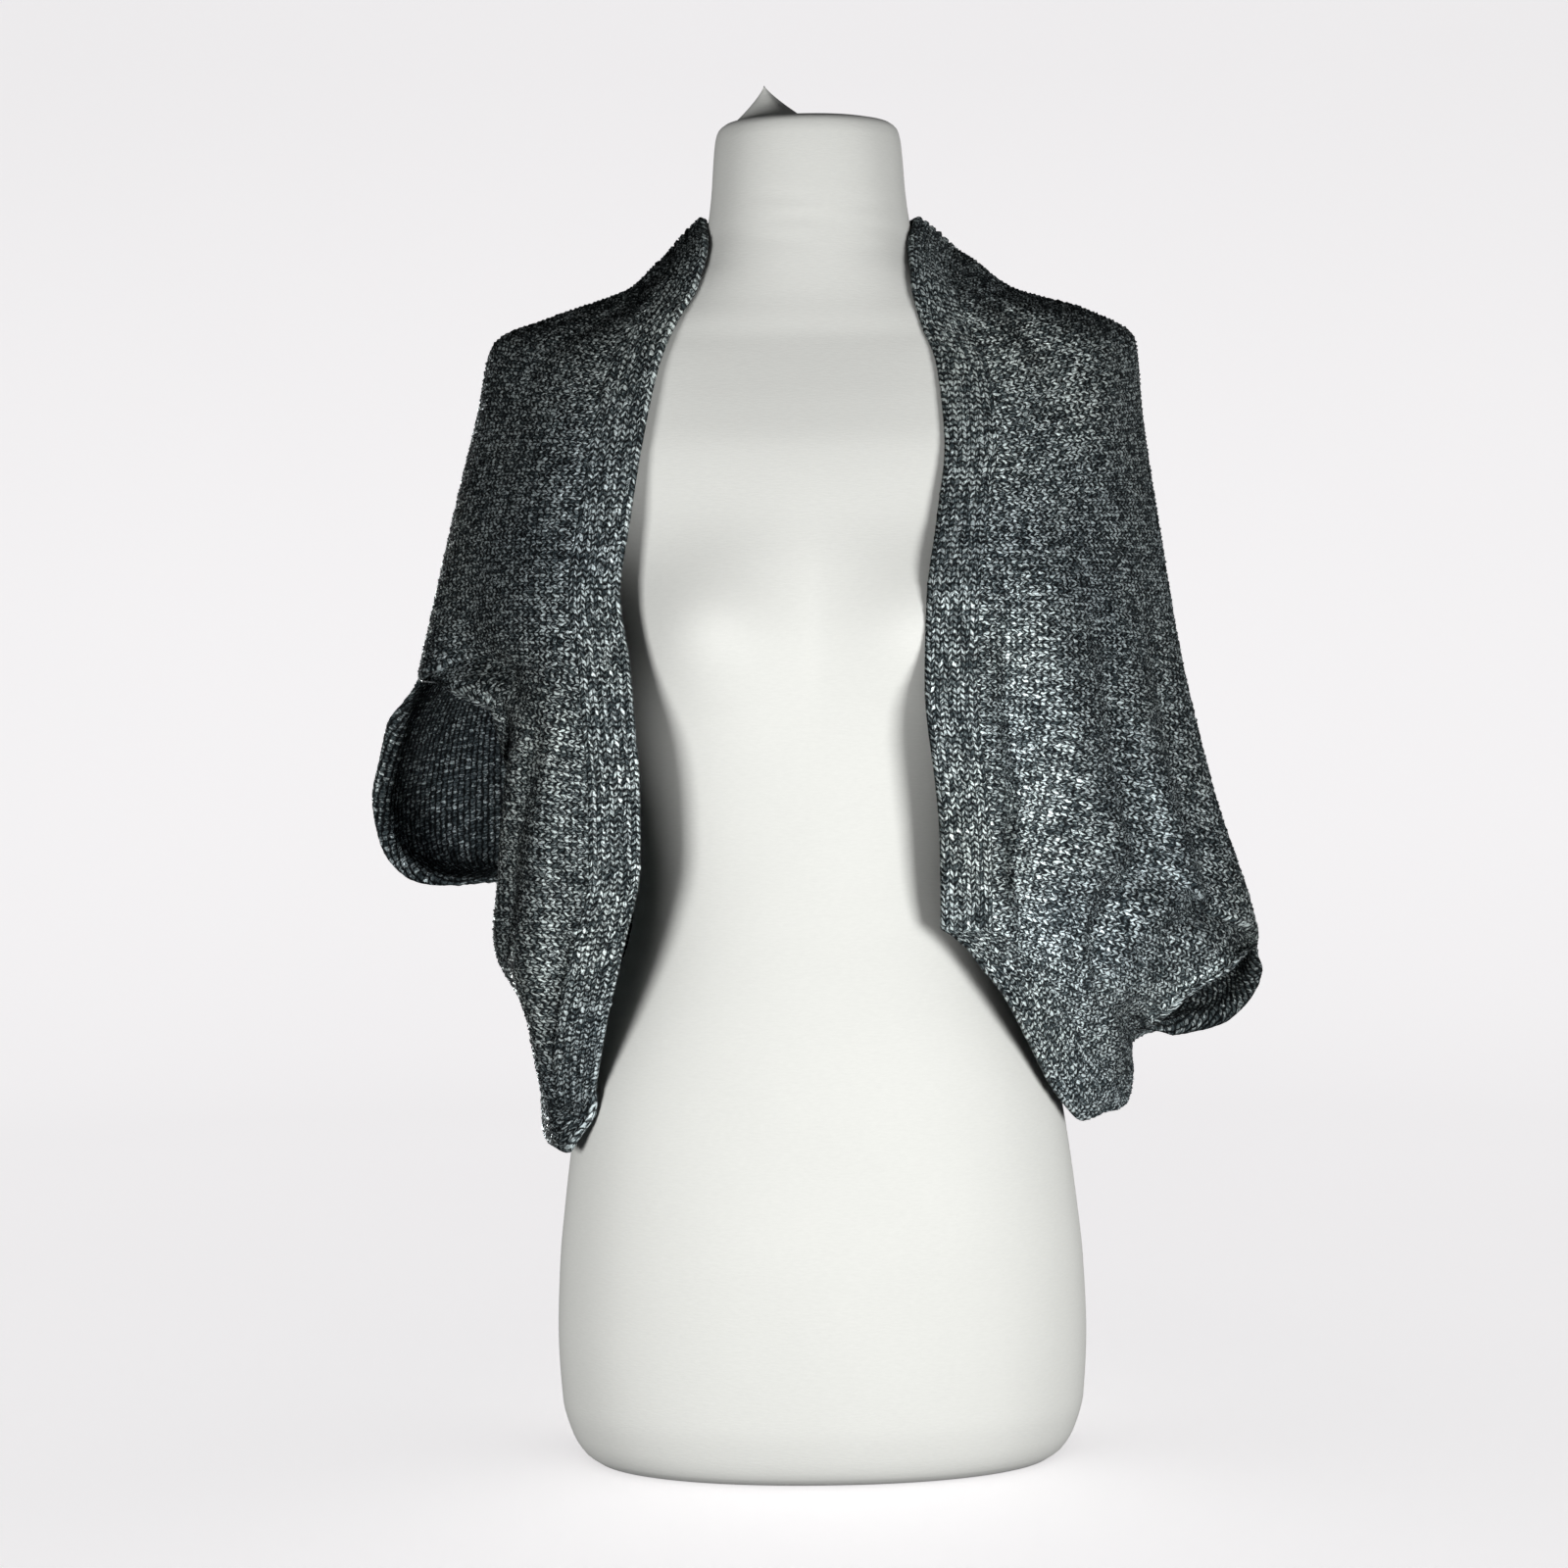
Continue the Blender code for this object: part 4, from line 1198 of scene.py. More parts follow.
def fit_count(grid, way, size, rounds=900):
    """A number that grows by one over each stretch of this size along the given direction."""
    down_step, across_step = np.diff(grid, axis=0), np.diff(grid, axis=1)
    down_way, across_way = between(way)
    high = np.linalg.norm(down_step, axis=-1) + LEAST_STEP
    wide = np.linalg.norm(across_step, axis=-1) + LEAST_STEP
    down_pull = np.clip(np.pad(wide, ((0, 0), (0, 1)), mode="edge")[:-1] / high, *PULL_LIMITS)
    across_pull = np.clip(np.pad(high, ((0, 1), (0, 0)), mode="edge")[:, :-1] / wide, *PULL_LIMITS)
    down_wish = (down_step * down_way).sum(-1) / size
    across_wish = (across_step * across_way).sum(-1) / size
    shape = grid.shape[:2]
    count = np.zeros(shape)
    count[:, 1:] = np.cumsum(across_wish, axis=1)
    count[1:] += np.cumsum(down_wish[:, :1], axis=0)
    weight = np.zeros(shape)
    weight[1:] += down_pull
    weight[:-1] += down_pull
    weight[:, 1:] += across_pull
    weight[:, :-1] += across_pull

    def asked(values):
        return gather(down_pull * np.diff(values, axis=0), across_pull * np.diff(values, axis=1), shape)

    left = gather(down_pull * down_wish, across_pull * across_wish, shape) - asked(count)
    step = left / weight
    size_now = (left * step).sum()
    for _ in range(rounds):
        pull = asked(step)
        share = size_now / max((step * pull).sum(), 1e-30)
        count += share * step
        left -= share * pull
        size_next = (left * left / weight).sum()
        if size_next < 1e-9:
            break
        step = left / weight + (size_next / size_now) * step
        size_now = size_next
    return count


flat = np.stack([*np.meshgrid(np.arange(8) * LOOP_LENGTH, np.arange(8.0)), np.zeros((8, 8))], axis=-1)
flat_count = fit_count(flat, np.broadcast_to((1.0, 0.0, 0.0), flat.shape), LOOP_LENGTH)
print("loops along", 7 * LOOP_LENGTH, "mm of flat cloth:", float(flat_count[0, -1]))

# %% [markdown]
# A panel has both counts. They start from nought where the knitting starts, and they never turn back.

# %% Counts of a panel


def loop_counts(name, grid, facing_grid):
    """Counts of loop columns and of loops over a panel, zero at the start row of its first column."""
    way, square = run_ways(name, grid, facing_grid)
    columns = fit_count(grid, square, COLUMN_WIDTH)
    loops = fit_count(grid, way, LOOP_LENGTH)
    start = float(np.interp(START_PLACE, PLACES[-len(grid) :], np.arange(len(grid))))
    middle = grid.shape[1] // 2 if name == "back" else 0
    first = int(start)
    columns -= columns[first, middle]
    loops -= loops[first, middle]
    steady = np.arange(len(grid))[:, None] * 1e-3
    columns = np.maximum.accumulate(columns + steady, axis=0)
    loops = np.maximum.accumulate(loops + np.arange(grid.shape[1])[None] * 1e-5, axis=1)
    return columns, loops


print("the counts start at", START_PLACE, "in the back's sections")

# %% [markdown]
# Where the count of columns passes a quarter of a column, a line of the mesh is laid. Just outside the
# panel the lines go on straight, so that the last loops are cut off cleanly by the edge.

# %% Lines of the mesh
LEAST_SLOPE = 0.3


def at_rows(grid, rows):
    """Values of a grid at a fractional row for each of its columns, also past its ends."""
    low = np.clip(np.floor(rows).astype(int), 0, len(grid) - 2)
    share = rows - low
    column = np.arange(grid.shape[1])
    return grid[low, column] * (1 - share) + grid[low + 1, column] * share


def column_lines(columns):
    """Fractional rows of every line, and the lines' numbers."""
    first = int(np.floor(columns[0].min() * LINES_PER_COLUMN))
    last = int(np.ceil(columns[-1].max() * LINES_PER_COLUMN))
    numbers = np.arange(first, last + 1)
    levels = numbers / LINES_PER_COLUMN
    rows = np.zeros((len(numbers), columns.shape[1]))
    for j in range(columns.shape[1]):
        count = columns[:, j]
        rows[:, j] = np.interp(levels, count, np.arange(len(count)))
        top = max(count[3] - count[0], LEAST_SLOPE) / 3
        bottom = max(count[-1] - count[-4], LEAST_SLOPE) / 3
        rows[:, j] = np.where(levels < count[0], (levels - count[0]) / top, rows[:, j])
        rows[:, j] = np.where(levels > count[-1], len(count) - 1 + (levels - count[-1]) / bottom, rows[:, j])
    return numbers, rows


print("lines for each column of loops:", LINES_PER_COLUMN)

# %% [markdown]
# ### The shape of one loop
# Across a column, the lines fall on the groove, the first leg, the middle and the second leg. The legs
# lean, so each line is moved along the column. The table gives, for each of the four lines, how far it is
# moved and how high the cloth stands there, in the middle of a leg and between two legs.

# %% Loop relief
LOOP_COLUMNS = ("moved", "on_leg", "between")
PANEL_LEG = (0.5, 0.62, 0.08)
BAND_LEG = (0.5, 0.60, 0.10)
PANEL_LOOP = table(LOOP_COLUMNS, ((0.0, -0.10, -0.38), PANEL_LEG, (1.0, 0.16, -0.18), PANEL_LEG))
BAND_LOOP = table(LOOP_COLUMNS, ((0.0, -0.62, -0.80), BAND_LEG, (1.0, 0.30, -0.05), BAND_LEG))
CURL_RADIUS = 5.0
CURL_TURN = math.radians(140)
print("one loop:", COLUMN_WIDTH, "by", LOOP_LENGTH, "mm")

# %% [markdown]
# A point of a line is read from between four points of the panel's grid. Past the edge of a cuff the line
# goes on round a small circle, and that is the curl.

# %% Points along one line


def bilinear(grid, rows, columns):
    """Points of a grid at fractional rows and columns."""
    i = np.clip(np.floor(rows).astype(int), 0, grid.shape[0] - 2)
    j = np.clip(np.floor(columns).astype(int), 0, grid.shape[1] - 2)
    a = (rows - i)[..., None]
    b = (columns - j)[..., None]
    low = grid[i, j] * (1 - b) + grid[i, j + 1] * b
    high = grid[i + 1, j] * (1 - b) + grid[i + 1, j + 1] * b
    return low * (1 - a) + high * a


def curl_over(grid, facing_grid, columns, rows, end, inner, wanted):
    """Points and directions of the part of a line that curls outward at the cuff."""
    places = []
    for column in (end, inner):
        level = np.clip(np.interp(column, columns, rows), 0, len(grid) - 1)
        places.append((level, column))
    root = bilinear(grid, *places[0])
    normal = unit(bilinear(facing_grid, *places[0]))
    ahead = unit(root - bilinear(grid, *places[1]))
    ahead = unit(ahead - (ahead * normal).sum() * normal)
    turn = (wanted / CURL_RADIUS)[:, None]
    points = root + CURL_RADIUS * (normal * (1 - np.cos(turn)) + ahead * np.sin(turn))
    return points, normal * np.cos(turn) - ahead * np.sin(turn)


def line_points(grid, facing_grid, rows, counts, wanted, curls):
    """Points, directions and side flags along one line, at the wanted counts of loops."""
    columns = np.arange(grid.shape[1], dtype=float)
    rolled = curls * CURL_RADIUS / LOOP_LENGTH
    limits = counts[0] + rolled[0], counts[-1] - rolled[1]
    place = np.interp(np.clip(wanted, *limits), counts, columns)
    row = np.interp(place, columns, rows)
    inside = np.clip(row, 0, len(grid) - 1)
    points = bilinear(grid, inside, place)
    ways = unit(bilinear(facing_grid, inside, place))
    flags = np.where(row < 0, -1, np.where(row > len(grid) - 1, 1, 0))
    for side, limit, way in ((0, limits[0], -1), (1, limits[1], 1)):
        over = (wanted - limit) * way > 0
        if curls[side] > 0 and over.any():
            end = np.interp(limit, counts, columns)
            past = (wanted[over] - limit) * way * LOOP_LENGTH
            curled = curl_over(grid, facing_grid, columns, rows, end, end - 2 * way, past)
            points[over], ways[over] = curled
    return points, ways, flags, limits


print("a point of the right front:", bilinear(right_panel, np.array(0.5), np.array(0.5)).round(1), "mm")

# %% [markdown]
# ### From lines to a closed piece of cloth
# The outside has the full relief of the loops. The inside follows the same edge, so that the piece is one
# closed wall. Both start from the quads between neighbouring lines.

# %% Loops to mesh


def lattice_faces(lattice):
    """Quads between neighbouring lines, and which of them are on the panel and not wholly past its ends."""
    flags = lattice["flags"]
    lines, marks = flags.shape
    mark = np.clip(np.arange(marks)[None], lattice["first"][:, None], lattice["last"][:, None])
    ids = np.arange(lines)[:, None] * marks + mark
    quads = np.stack([ids[:-1, :-1], ids[:-1, 1:], ids[1:, 1:], ids[1:, :-1]], axis=-1)
    past = flags[:-1, :-1] + flags[:-1, 1:] + flags[1:, 1:] + flags[1:, :-1]
    return quads, np.abs(past) != 4


def clean_faces(quads):
    """Faces from quads, with their repeated corners dropped."""
    same = quads == np.roll(quads, 1, axis=1)
    cut = same.any(axis=1)
    faces = [tuple(quad) for quad in quads[~cut].tolist()]
    for quad, repeated in zip(quads[cut], same[cut]):
        if (~repeated).sum() > 2:
            faces.append(tuple(quad[~repeated].tolist()))
    return faces


def border_of(faces):
    """Directed edges that only one face uses."""
    edges = set()
    for face in faces:
        for a, b in zip(face, face[1:] + face[:1]):
            if (b, a) in edges:
                edges.remove((b, a))
            else:
                edges.add((a, b))
    return edges


print("border of one face:", sorted(border_of([(0, 1, 2)])))

# %% [markdown]
# The inside is plainer. A loop that is whole becomes one face, with extra corners only where its
# neighbour isn't whole. Where a cuff curls, the faces stay small, so that the inside bends as the outside
# does.

# %% Faces of the inside


def whole_loops(quads, keep, lattice):
    """Loops whose faces are all there and lie flat, and the quads outside them."""
    n = LINES_PER_COLUMN
    lines, marks = quads.shape[:2]
    proper = keep & (quads[..., 0] != quads[..., 1]) & (quads[..., 2] != quads[..., 3])
    free = keep.copy()
    found = []
    for k in range(lines - n + 1):
        if lattice["numbers"][k] % n:
            continue
        complete = proper[k : k + n].all(axis=0)
        for m in range(int(lattice["marks"][0]) % 2, marks - 1, 2):
            flat = not lattice["fine"][k : k + n + 1, m : m + 3].any()
            if complete[m] and complete[m + 1] and flat:
                found.append((k, m))
                free[k : k + n, m : m + 2] = False
    return found, free


def inner_faces(quads, keep, lattice):
    """One face of the plain inside for each whole loop, and the quads that stay small."""
    found, free = whole_loops(quads, keep, lattice)
    there = set(found)
    n = LINES_PER_COLUMN
    faces = []
    for k, m in found:
        ring = [quads[k, m, 0]]
        if (k - n, m) not in there:
            ring.append(quads[k, m, 1])
        ring.append(quads[k, m + 1, 1])
        if (k, m + 2) not in there:
            ring += [quads[k + i, m + 1, 2] for i in range(n - 1)]
        ring.append(quads[k + n - 1, m + 1, 2])
        if (k + n, m) not in there:
            ring.append(quads[k + n - 1, m, 2])
        ring.append(quads[k + n - 1, m, 3])
        if (k, m - 2) not in there:
            ring += [quads[k + i, m, 3] for i in range(n - 2, -1, -1)]
        faces.append(tuple(int(corner) for corner in ring))
    return faces, free


def both_sides(lattice, flip):
    """Faces of the outside and of the inside, by the lattice's own numbers."""
    quads, keep = lattice_faces(lattice)
    order = [0, 3, 2, 1] if flip else [0, 1, 2, 3]
    coarse, free = inner_faces(quads, keep, lattice)
    inside = clean_faces(quads[free][:, order])
    inside += [face[::-1] if flip else face for face in coarse]
    return clean_faces(quads[keep][:, order]), inside


print("faces of the inside: one for", LINES_PER_COLUMN * 2, "faces of the outside")

# %% [markdown]
# Half of the wall's thickness lies on each side of the cloth's grid. A little unevenness, the same each
# time, keeps it from looking machine perfect. The map counts loops and columns for the yarn's recipe, and
# is shifted inside, so that the two sides don't match.

# %% Points of the wall and the yarn's map
UNEVENNESS = 0.18
INNER_RELIEF = 0.12
INNER_MAP_SHIFT = np.array([0.6, 0.7])


def wall_points(lattice, loop, chance):
    """Points of the relief outside, then of the plain inside."""
    points, ways = lattice["points"], lattice["ways"]
    phase = lattice["numbers"] % LINES_PER_COLUMN
    odd = (lattice["marks"] % 2).astype(bool)[None]
    height = np.where(odd, loop["between"][phase][:, None], loop["on_leg"][phase][:, None])
    height = height + chance.normal(0, UNEVENNESS, height.shape)
    outer = points + chance.normal(0, UNEVENNESS, points.shape) + ways * (WALL / 2 + height)[..., None]
    inner = points - ways * (WALL / 2 - INNER_RELIEF * np.where(odd, 1.0, -1.0))[..., None]
    return np.concatenate([outer.reshape(-1, 3), inner.reshape(-1, 3)])


def add_loop_map(mesh, lattice, used):
    """The map that the yarn reads: loops along a column, and columns."""
    along = lattice["along"]
    columns = np.repeat(lattice["numbers"][:, None] / LINES_PER_COLUMN, along.shape[1], axis=1)
    outside = np.stack([along, columns], axis=-1).reshape(-1, 2)
    loops = np.concatenate([outside, outside + INNER_MAP_SHIFT])[used]
    corners = np.zeros(len(mesh.loops), int)
    mesh.loops.foreach_get("vertex_index", corners)
    layer = mesh.uv_layers.new(name="loops")
    layer.data.foreach_set("uv", loops[corners].astype(np.float32).ravel())


print("wall:", WALL, "mm, uneven by about", UNEVENNESS, "mm")

# %% [markdown]
# A rim joins the border of the outside to the inside. Corners that no face uses are dropped.

# %% One knitted piece


def knit_piece(name, lattice, materials, loop, flip):
    """A closed knitted wall: outside, rim and inside."""
    outside, inside = both_sides(lattice, flip)
    points = wall_points(lattice, loop, np.random.RandomState(len(name)))
    half = len(points) // 2
    faces = outside + [(b, a, a + half, b + half) for a, b in border_of(outside)]
    rim_to = len(faces)
    faces += [tuple(corner + half for corner in face[::-1]) for face in inside]
    used = np.zeros(len(points), bool)
    used[[corner for face in faces for corner in face]] = True
    renumber = np.cumsum(used) - 1
    faces = [tuple(renumber[list(face)].tolist()) for face in faces]
    made = add_object(name, points[used], faces, materials)
    sides = np.zeros(len(faces), np.int32)
    sides[rim_to:] = 1
    made.data.polygons.foreach_set("material_index", sides)
    add_loop_map(made.data, lattice, used)
    return made


panel_materials = [yarns["panel"], yarns["purl"]]
print("outside and inside of a panel:", [material.name for material in panel_materials])

# %% [markdown]
# ### Setting out one panel
# Along each line the marks are half a loop apart. A mark that would lie before the line's start, or past
# its end, is pulled back to the edge itself, so every panel keeps its exact outline. At a cuff the line
# goes on past the edge and rolls outward, as a cast-off edge with no band does. The roll starts one
# radius before the edge.

# %% Panel lattice
MARK_MARGIN = 0.02
FINE_LOOPS_AT_CURL = 2


def empty_lattice(numbers, marks, first, last, along):
    """A lattice without places: its lines, its marks, and where each line starts and ends."""
    return {
        "numbers": numbers,
        "marks": marks,
        "first": first,
        "last": last,
        "along": along,
        "points": np.zeros(along.shape + (3,)),
        "ways": np.zeros(along.shape + (3,)),
        "flags": np.zeros(along.shape, int),
        "fine": np.zeros(along.shape, bool),
    }


def panel_lattice(grid, facing_grid, columns, loops, lean, curls_of):
    """Everything that knit_piece needs for one panel."""
    numbers, rows = column_lines(columns)
    curls = curls_of(rows)
    counts = np.maximum.accumulate(np.array([at_rows(loops, line) for line in rows]), axis=1)
    shift = PANEL_LOOP["moved"][numbers % LINES_PER_COLUMN] * LEG_SLOPE * lean
    extra = CURL_RADIUS * (CURL_TURN - 1) / LOOP_LENGTH
    starts = counts[:, 0] - extra * curls[:, 0]
    ends = counts[:, -1] + extra * curls[:, 1]
    marks = np.arange(2 * int(starts.min()) - 4, 2 * int(ends.max()) + 6)
    wanted = marks[None] / 2 + shift[:, None]
    first = np.maximum((wanted <= starts[:, None] + MARK_MARGIN).sum(axis=1) - 1, 0)
    last = np.maximum((wanted < ends[:, None] - MARK_MARGIN).sum(axis=1), first + 1)
    wanted = np.clip(wanted, starts[:, None], ends[:, None])
    lattice = empty_lattice(numbers, marks, first, last, wanted * lean)
    for k, line in enumerate(wanted):
        points, ways, flags, limits = line_points(grid, facing_grid, rows[k], counts[k], line, curls[k])
        at_start = (curls[k, 0] > 0) & (line < limits[0] + FINE_LOOPS_AT_CURL)
        at_end = (curls[k, 1] > 0) & (line > limits[1] - FINE_LOOPS_AT_CURL)
        lattice["points"][k] = points
        lattice["ways"][k] = ways
        lattice["flags"][k] = flags
        lattice["fine"][k] = at_start | at_end
    return lattice


print("marks of a line are", LOOP_LENGTH / 2, "mm apart")

# %% [markdown]
# The curl is full in the middle of a cuff and fades out towards both side seams, because the seams hold
# the edge down.

# %% Where the cuffs curl
CURL_RISE = 4


def cuff_curl(side, grid, rows, end):
    """How strongly each line's end curls: fully in the middle of the cuff, not at all at the side seams."""
    places = np.array(PLACES[-len(grid) :])
    index = np.clip(rows[:, end], 0, len(grid) - 1)
    place = np.interp(index, np.arange(len(grid)), places)
    row = np.array([side_row(side, p) for p in place])
    first, last = CUFF_ROWS[side]
    level = np.clip((row - first) / (last - first), 0, 1)
    beyond = (rows[:, end] < 0) | (rows[:, end] > len(grid) - 1)
    return np.where(beyond, 0, np.clip(CURL_RISE * level, 0, 1) * np.clip(CURL_RISE * (1 - level), 0, 1))


def front_curls(side, grid):
    """A function for the curls of a front panel's lines, at the band and at the side."""
    return lambda rows: np.stack([np.zeros(len(rows)), cuff_curl(side, grid, rows, -1)], axis=1)


def back_curls(rows):
    """Curls of the back's lines, at the right and the left cuff."""
    ends = (("right", 0), ("left", -1))
    return np.stack([cuff_curl(side, back_panel, rows, end) for side, end in ends], axis=1)


def some_lines(lattice, chosen):
    """The part of a lattice that lies on the chosen lines."""
    return {name: part if name == "marks" else part[chosen] for name, part in lattice.items()}


print("curl at the cuffs:", CURL_RADIUS, "mm radius,", round(math.degrees(CURL_TURN)), "degrees")

# %% [markdown]
# ### The two fronts
# Each front is set out from its own two counts. The columns of the right front are mirrored.

# %% Fronts
counts = loop_counts("right", right_panel, normals["right"])
lattice = panel_lattice(right_panel, normals["right"], *counts, -1, front_curls("right", right_panel))
right_front = knit_piece("right_front_knit", lattice, panel_materials, PANEL_LOOP, False)
print("right front:", triangle_count(right_front), "triangles")

counts = loop_counts("left", left_panel, normals["left"])
lattice = panel_lattice(left_panel, normals["left"], *counts, 1, front_curls("left", left_panel))
left_front = knit_piece("left_front_knit", lattice, panel_materials, PANEL_LOOP, True)
print("left front:", triangle_count(left_front), "triangles")

# %% [markdown]
# ### The back in two lengths
# The back is one piece of knitting. Its mesh is made in two, parted in the groove between two columns of
# loops, where nothing shows, because one mesh with every loop would be heavy.

# %% Back
counts = loop_counts("back", back_panel, normals["back"])
lattice = panel_lattice(back_panel, normals["back"], *counts, 1, back_curls)
PARTING_COLUMN = 4
parting = PARTING_COLUMN * LINES_PER_COLUMN
upper = some_lines(lattice, lattice["numbers"] <= parting)
lower = some_lines(lattice, lattice["numbers"] >= parting)
back_upper = knit_piece("back_knit_upper", upper, panel_materials, PANEL_LOOP, False)
back_lower = knit_piece("back_knit_lower", lower, panel_materials, PANEL_LOOP, False)
print("back:", triangle_count(back_upper), "and", triangle_count(back_lower), "triangles")

# %% [markdown]
# ## Knitting the bands
# A band's columns run along it, with deeper grooves between them, so it looks ribbed. Its outer edge is
# rounded over.

# %% Bands
BAND_COLUMNS = 6
BAND_CUSHION = 0.7
BAND_EDGE_DROP = 1.5
BAND_EDGE_WIDTH = 0.05
BAND_MARGIN = 0.05


def band_lattice(strip, facing_strip, lean):
    """Everything that knit_piece needs for a band, whose lines run along its length."""
    lines = BAND_COLUMNS * LINES_PER_COLUMN
    share = np.linspace(0, 1, lines + 1)
    centre = strip.mean(axis=1)
    run = np.concatenate([[0], np.cumsum(np.linalg.norm(np.diff(centre, axis=0), axis=1))])
    numbers = np.arange(lines + 1)
    shift = BAND_LOOP["moved"][numbers % LINES_PER_COLUMN] * LEG_SLOPE * lean
    marks = np.arange(-3, int(2 * run[-1] / LOOP_LENGTH) + 3)
    wanted = (marks[None] / 2 + shift[:, None]) * LOOP_LENGTH
    first = (wanted <= BAND_MARGIN).sum(axis=1) - 1
    last = (wanted < run[-1] - BAND_MARGIN).sum(axis=1)
    wanted = np.clip(wanted, 0, run[-1])
    place = np.interp(wanted, run, np.arange(len(strip)))
    across = np.repeat(share[:, None], wanted.shape[1], axis=1)
    lattice = empty_lattice(numbers, marks, first, last, wanted / LOOP_LENGTH * lean)
    lattice["ways"] = unit(bilinear(facing_strip, place, across))
    cushion = BAND_CUSHION * np.sin(math.pi * across) - BAND_EDGE_DROP * bump(across, 0.0, BAND_EDGE_WIDTH)
    lattice["points"] = bilinear(strip, place, across) + lattice["ways"] * cushion[..., None]
    return lattice


print("band columns:", BAND_COLUMNS)

# %% [markdown]
# The front band runs up the right edge, round the neck and down the left edge. The hem band closes the
# garment.

# %% Front band and hem band
band_materials = [yarns["band"], yarns["purl"]]
front_band = knit_piece(
    "neck_and_front_band_knit", band_lattice(opening, normals["opening"], 1), band_materials, BAND_LOOP, False
)
hem_band = knit_piece("hem_band_knit", band_lattice(hem, normals["hem"], 1), band_materials, BAND_LOOP, True)
print("bands:", triangle_count(front_band), "and", triangle_count(hem_band), "triangles")

# %% [markdown]
# ## Joining the pieces to the plain model
# Each dressed piece rides with the plain model and takes the place of its plain piece, which is hidden.

# %% Ride and replace


def dress(piece, node):
    """Puts a piece in the place of a plain one."""
    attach(piece, "root")
    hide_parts(node)


dress(form, "dress_form")
dress(cover_point, "cover_peak")
dress(right_front, "right_front")
dress(left_front, "left_front")
dress(back_upper, "back")
dress(back_lower, "back")
dress(front_band, "neck_and_front_band")
dress(hem_band, "hem_band")
print("dressed:", sorted(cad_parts))

# %% [markdown]
# ## Studio
# A round sheet of paper that curves up into a wall has no horizon from any side. It has its own even
# light. It is hidden from the rays that bounce, so the hollows of the garment stay as dark as dark yarn
# makes them.

# %% Floor and wall
FLOOR_COLOUR = (0.90, 0.885, 0.895, 1)
GRAIN_COLOUR = (0.915, 0.90, 0.91, 1)
FLOOR_RADIUS = 1700.0
CURVE_RADIUS = 1400.0
WALL_HEIGHT = 6000.0
PAPER_GLOW = 0.6


def make_studio():
    """One round sheet: floor, a wide curve, and wall all round."""
    profile = [(500.0, 0.0), (1100.0, 0.0), (FLOOR_RADIUS, 0.0)]
    for turn in np.linspace(0.05, math.pi / 2, 24):
        profile.append((FLOOR_RADIUS + CURVE_RADIUS * math.sin(turn), CURVE_RADIUS * (1 - math.cos(turn))))
    profile.append((FLOOR_RADIUS + CURVE_RADIUS, WALL_HEIGHT))
    turns = np.linspace(0, 2 * math.pi, 97)[:-1]
    points = [(r * math.cos(turn), r * math.sin(turn), z) for r, z in profile for turn in turns]
    n = len(turns)
    faces = [tuple(range(n))]
    for k in range(len(profile) - 1):
        faces += ring_quads((k + 1) * n, k * n, n)
    material, w, shader = new_material("studio_paper")
    grain = w.noise(w.object_place(), scale=2.0, detail=3.0)
    looks = {
        "Base Color": w.mix(w.map(grain, 0.3, 0.7), FLOOR_COLOUR, GRAIN_COLOUR),
        "Roughness": 0.95,
        "Specular IOR Level": 0.1,
        "Emission Color": FLOOR_COLOUR,
        "Emission Strength": PAPER_GLOW,
    }
    w.fill(shader, looks)
    return add_object("studio_floor", points, faces, [material])


floor = make_studio()
floor.visible_diffuse = False
floor.visible_glossy = False
floor.visible_shadow = False
print("studio:", triangle_count(floor), "triangles")

# %% [markdown]
# ### Lights
# Rough knitting looks flat when it is lit from the front. Each front is therefore lit from across the
# body, which shows its folds. Light linking gives each lamp its own receivers: the form, the fronts, the
# back or the paper. The lamps stand low, so the shoulders fall off into the dark.

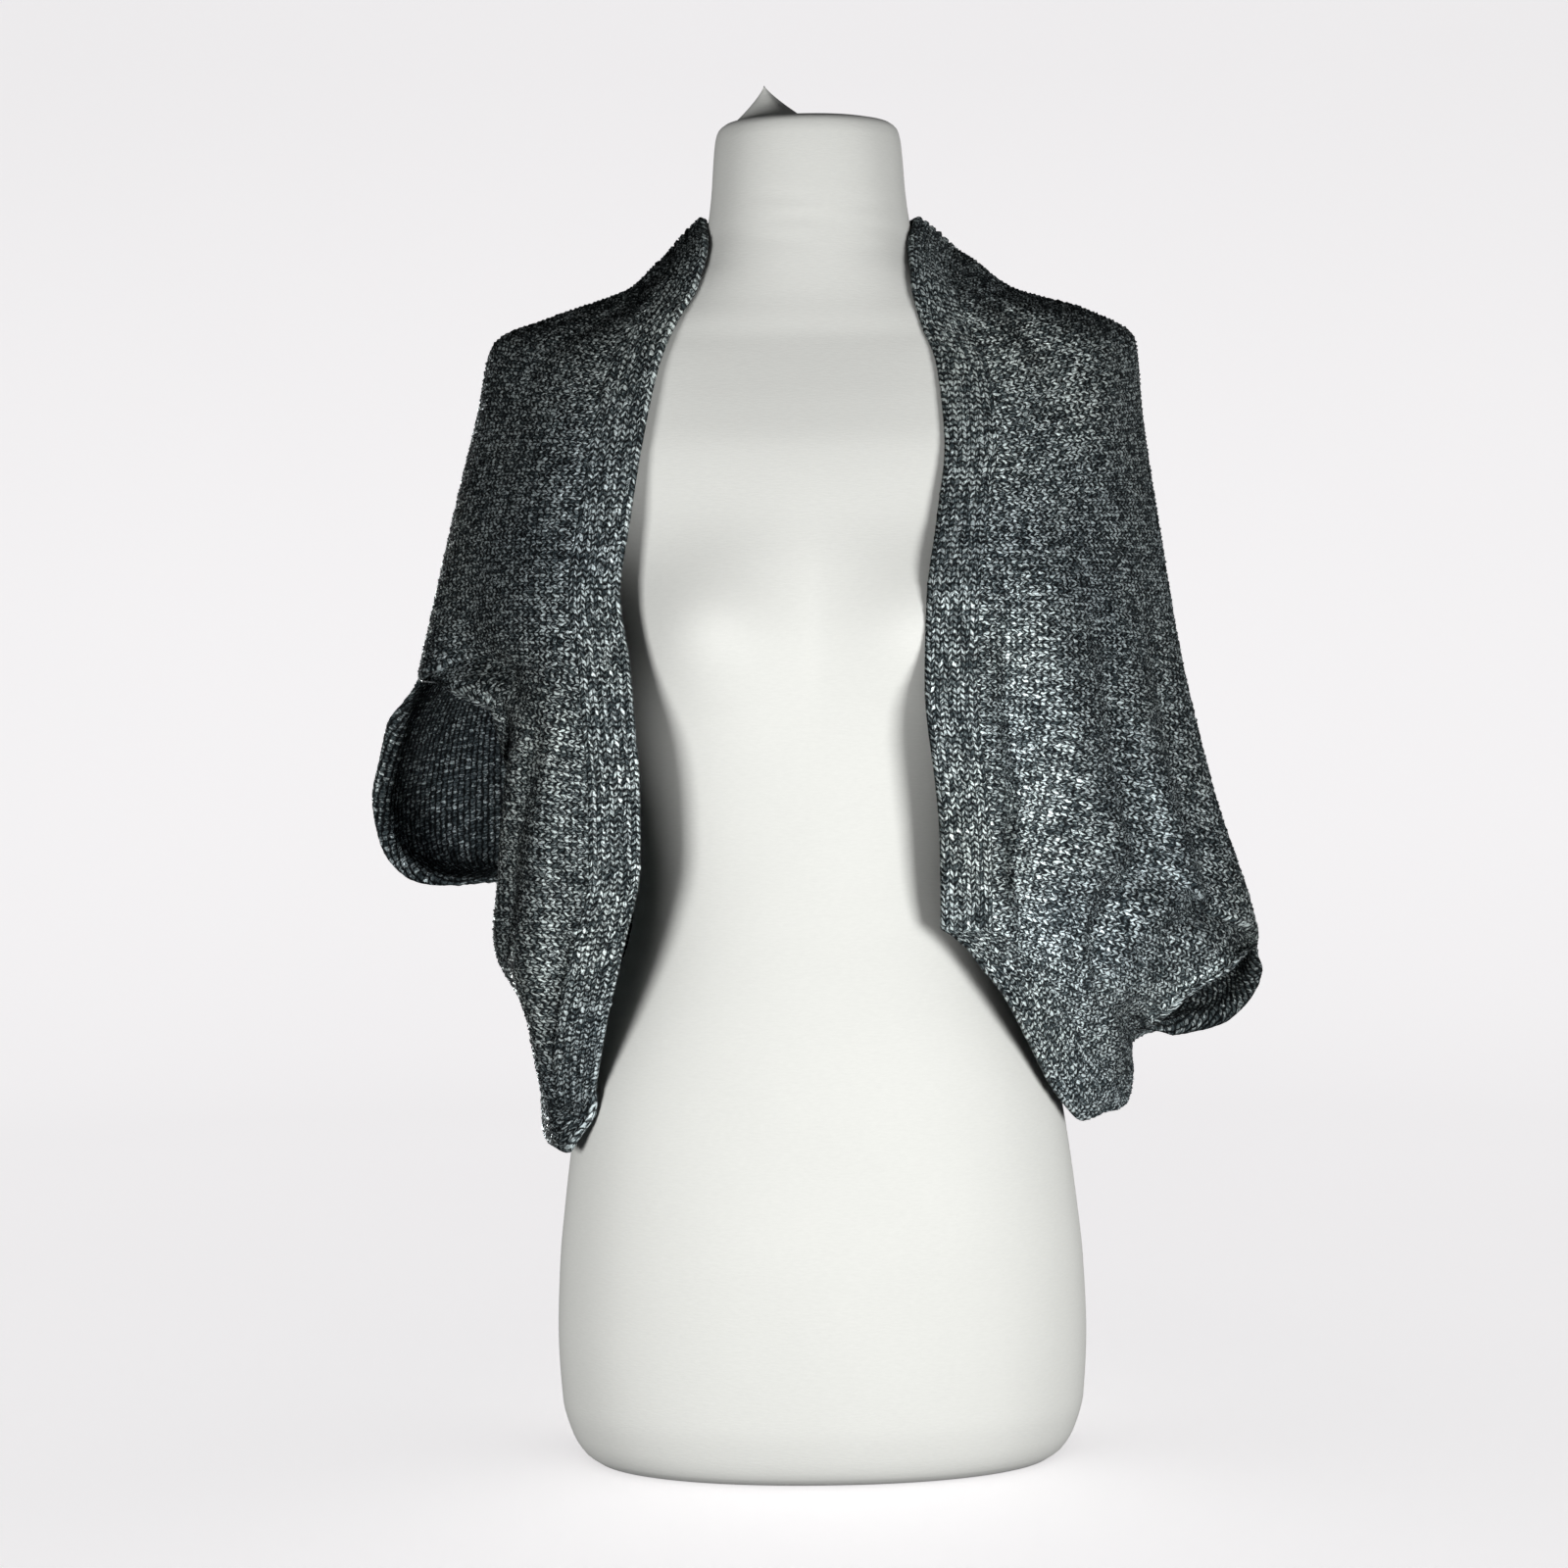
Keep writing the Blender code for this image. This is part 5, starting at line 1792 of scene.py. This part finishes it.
# %% Table of the lamps
# Each line: name, what it lights, place in metres (three numbers), size in metres, power in watts.
LIGHTS = (
    ("form_key", "form", 0.75, -1.0, 0.24, 0.4, 12.0),
    ("form_fill", "form", -0.85, -0.95, 0.24, 0.4, 9.4),
    ("cloth_front", "fronts", 0.1, -1.5, 0.05, 0.24, 14.0),
    ("across_from_left", "right", 0.8, -0.95, 0.15, 0.3, 9.5),
    ("across_from_right", "left", -0.85, -0.95, 0.03, 0.3, 22.0),
    ("own_side", "left", 0.9, -0.9, 0.15, 0.4, 3.5),
    ("inside_of_cuffs", "back", -0.85, -0.95, 0.24, 0.4, 7.5),
    ("inside_from_left", "back", 0.75, -1.0, 0.24, 0.4, 9.0),
    ("behind_form", "form", 0.3, 1.9, 0.6, 0.8, 40.0),
    ("behind_cloth", "cloth", 0.3, 1.9, 0.35, 0.8, 14.0),
    ("behind_from_right", "cloth", -1.1, 1.6, 0.25, 0.4, 26.0),
)
LIGHT_AIM = Vector((0.0, 0.0, 0.42))
LIT_PIECES = {
    "form": (form, cover_point),
    "cloth": (right_front, left_front, back_upper, back_lower, front_band, hem_band),
    "fronts": (right_front, left_front, front_band, hem_band),
    "right": (right_front, front_band, hem_band),
    "left": (left_front,),
    "back": (back_upper, back_lower),
    "paper": (floor,),
}
PAPER_LIGHT = 1.15
ROOM_LIGHT = 0.05


def add_lamp(name, kind, place, aim, energy):
    """A lamp aimed at a point."""
    data = bpy.data.lights.new(name, kind)
    data.energy = energy
    lamp = bpy.data.objects.new(name, data)
    bpy.context.scene.collection.objects.link(lamp)
    lamp.location = place
    lamp.rotation_euler = (aim - lamp.location).to_track_quat("-Z", "Y").to_euler()
    return lamp


print("lamps:", len(LIGHTS))

# %% [markdown]
# The paper has a very wide sun of its own, and the room adds a little light from everywhere.

# %% Lamps, paper light and room
receivers = {}
for name, pieces in LIT_PIECES.items():
    receivers[name] = bpy.data.collections.new("lit_" + name)
    for piece in pieces:
        receivers[name].objects.link(piece)
for name, lit, x, y, z, size, power in LIGHTS:
    lamp = add_lamp(name, "AREA", (x, y, z), LIGHT_AIM, power)
    lamp.data.size = size
    lamp.visible_camera = False
    lamp.light_linking.receiver_collection = receivers[lit]
paper_lamp = add_lamp("paper_light", "SUN", (0, -3, 3), Vector((0, 0, 0)), PAPER_LIGHT)
paper_lamp.data.angle = math.radians(170)
paper_lamp.light_linking.receiver_collection = receivers["paper"]
room = bpy.data.worlds.new("room")
room.use_nodes = True
room.node_tree.nodes["Background"].inputs["Color"].default_value = (0.93, 0.94, 0.96, 1)
room.node_tree.nodes["Background"].inputs["Strength"].default_value = ROOM_LIGHT
bpy.context.scene.world = room
bpy.context.scene.view_settings.view_transform = "Standard"
print("lit pieces:", {name: len(pieces) for name, pieces in LIT_PIECES.items()})
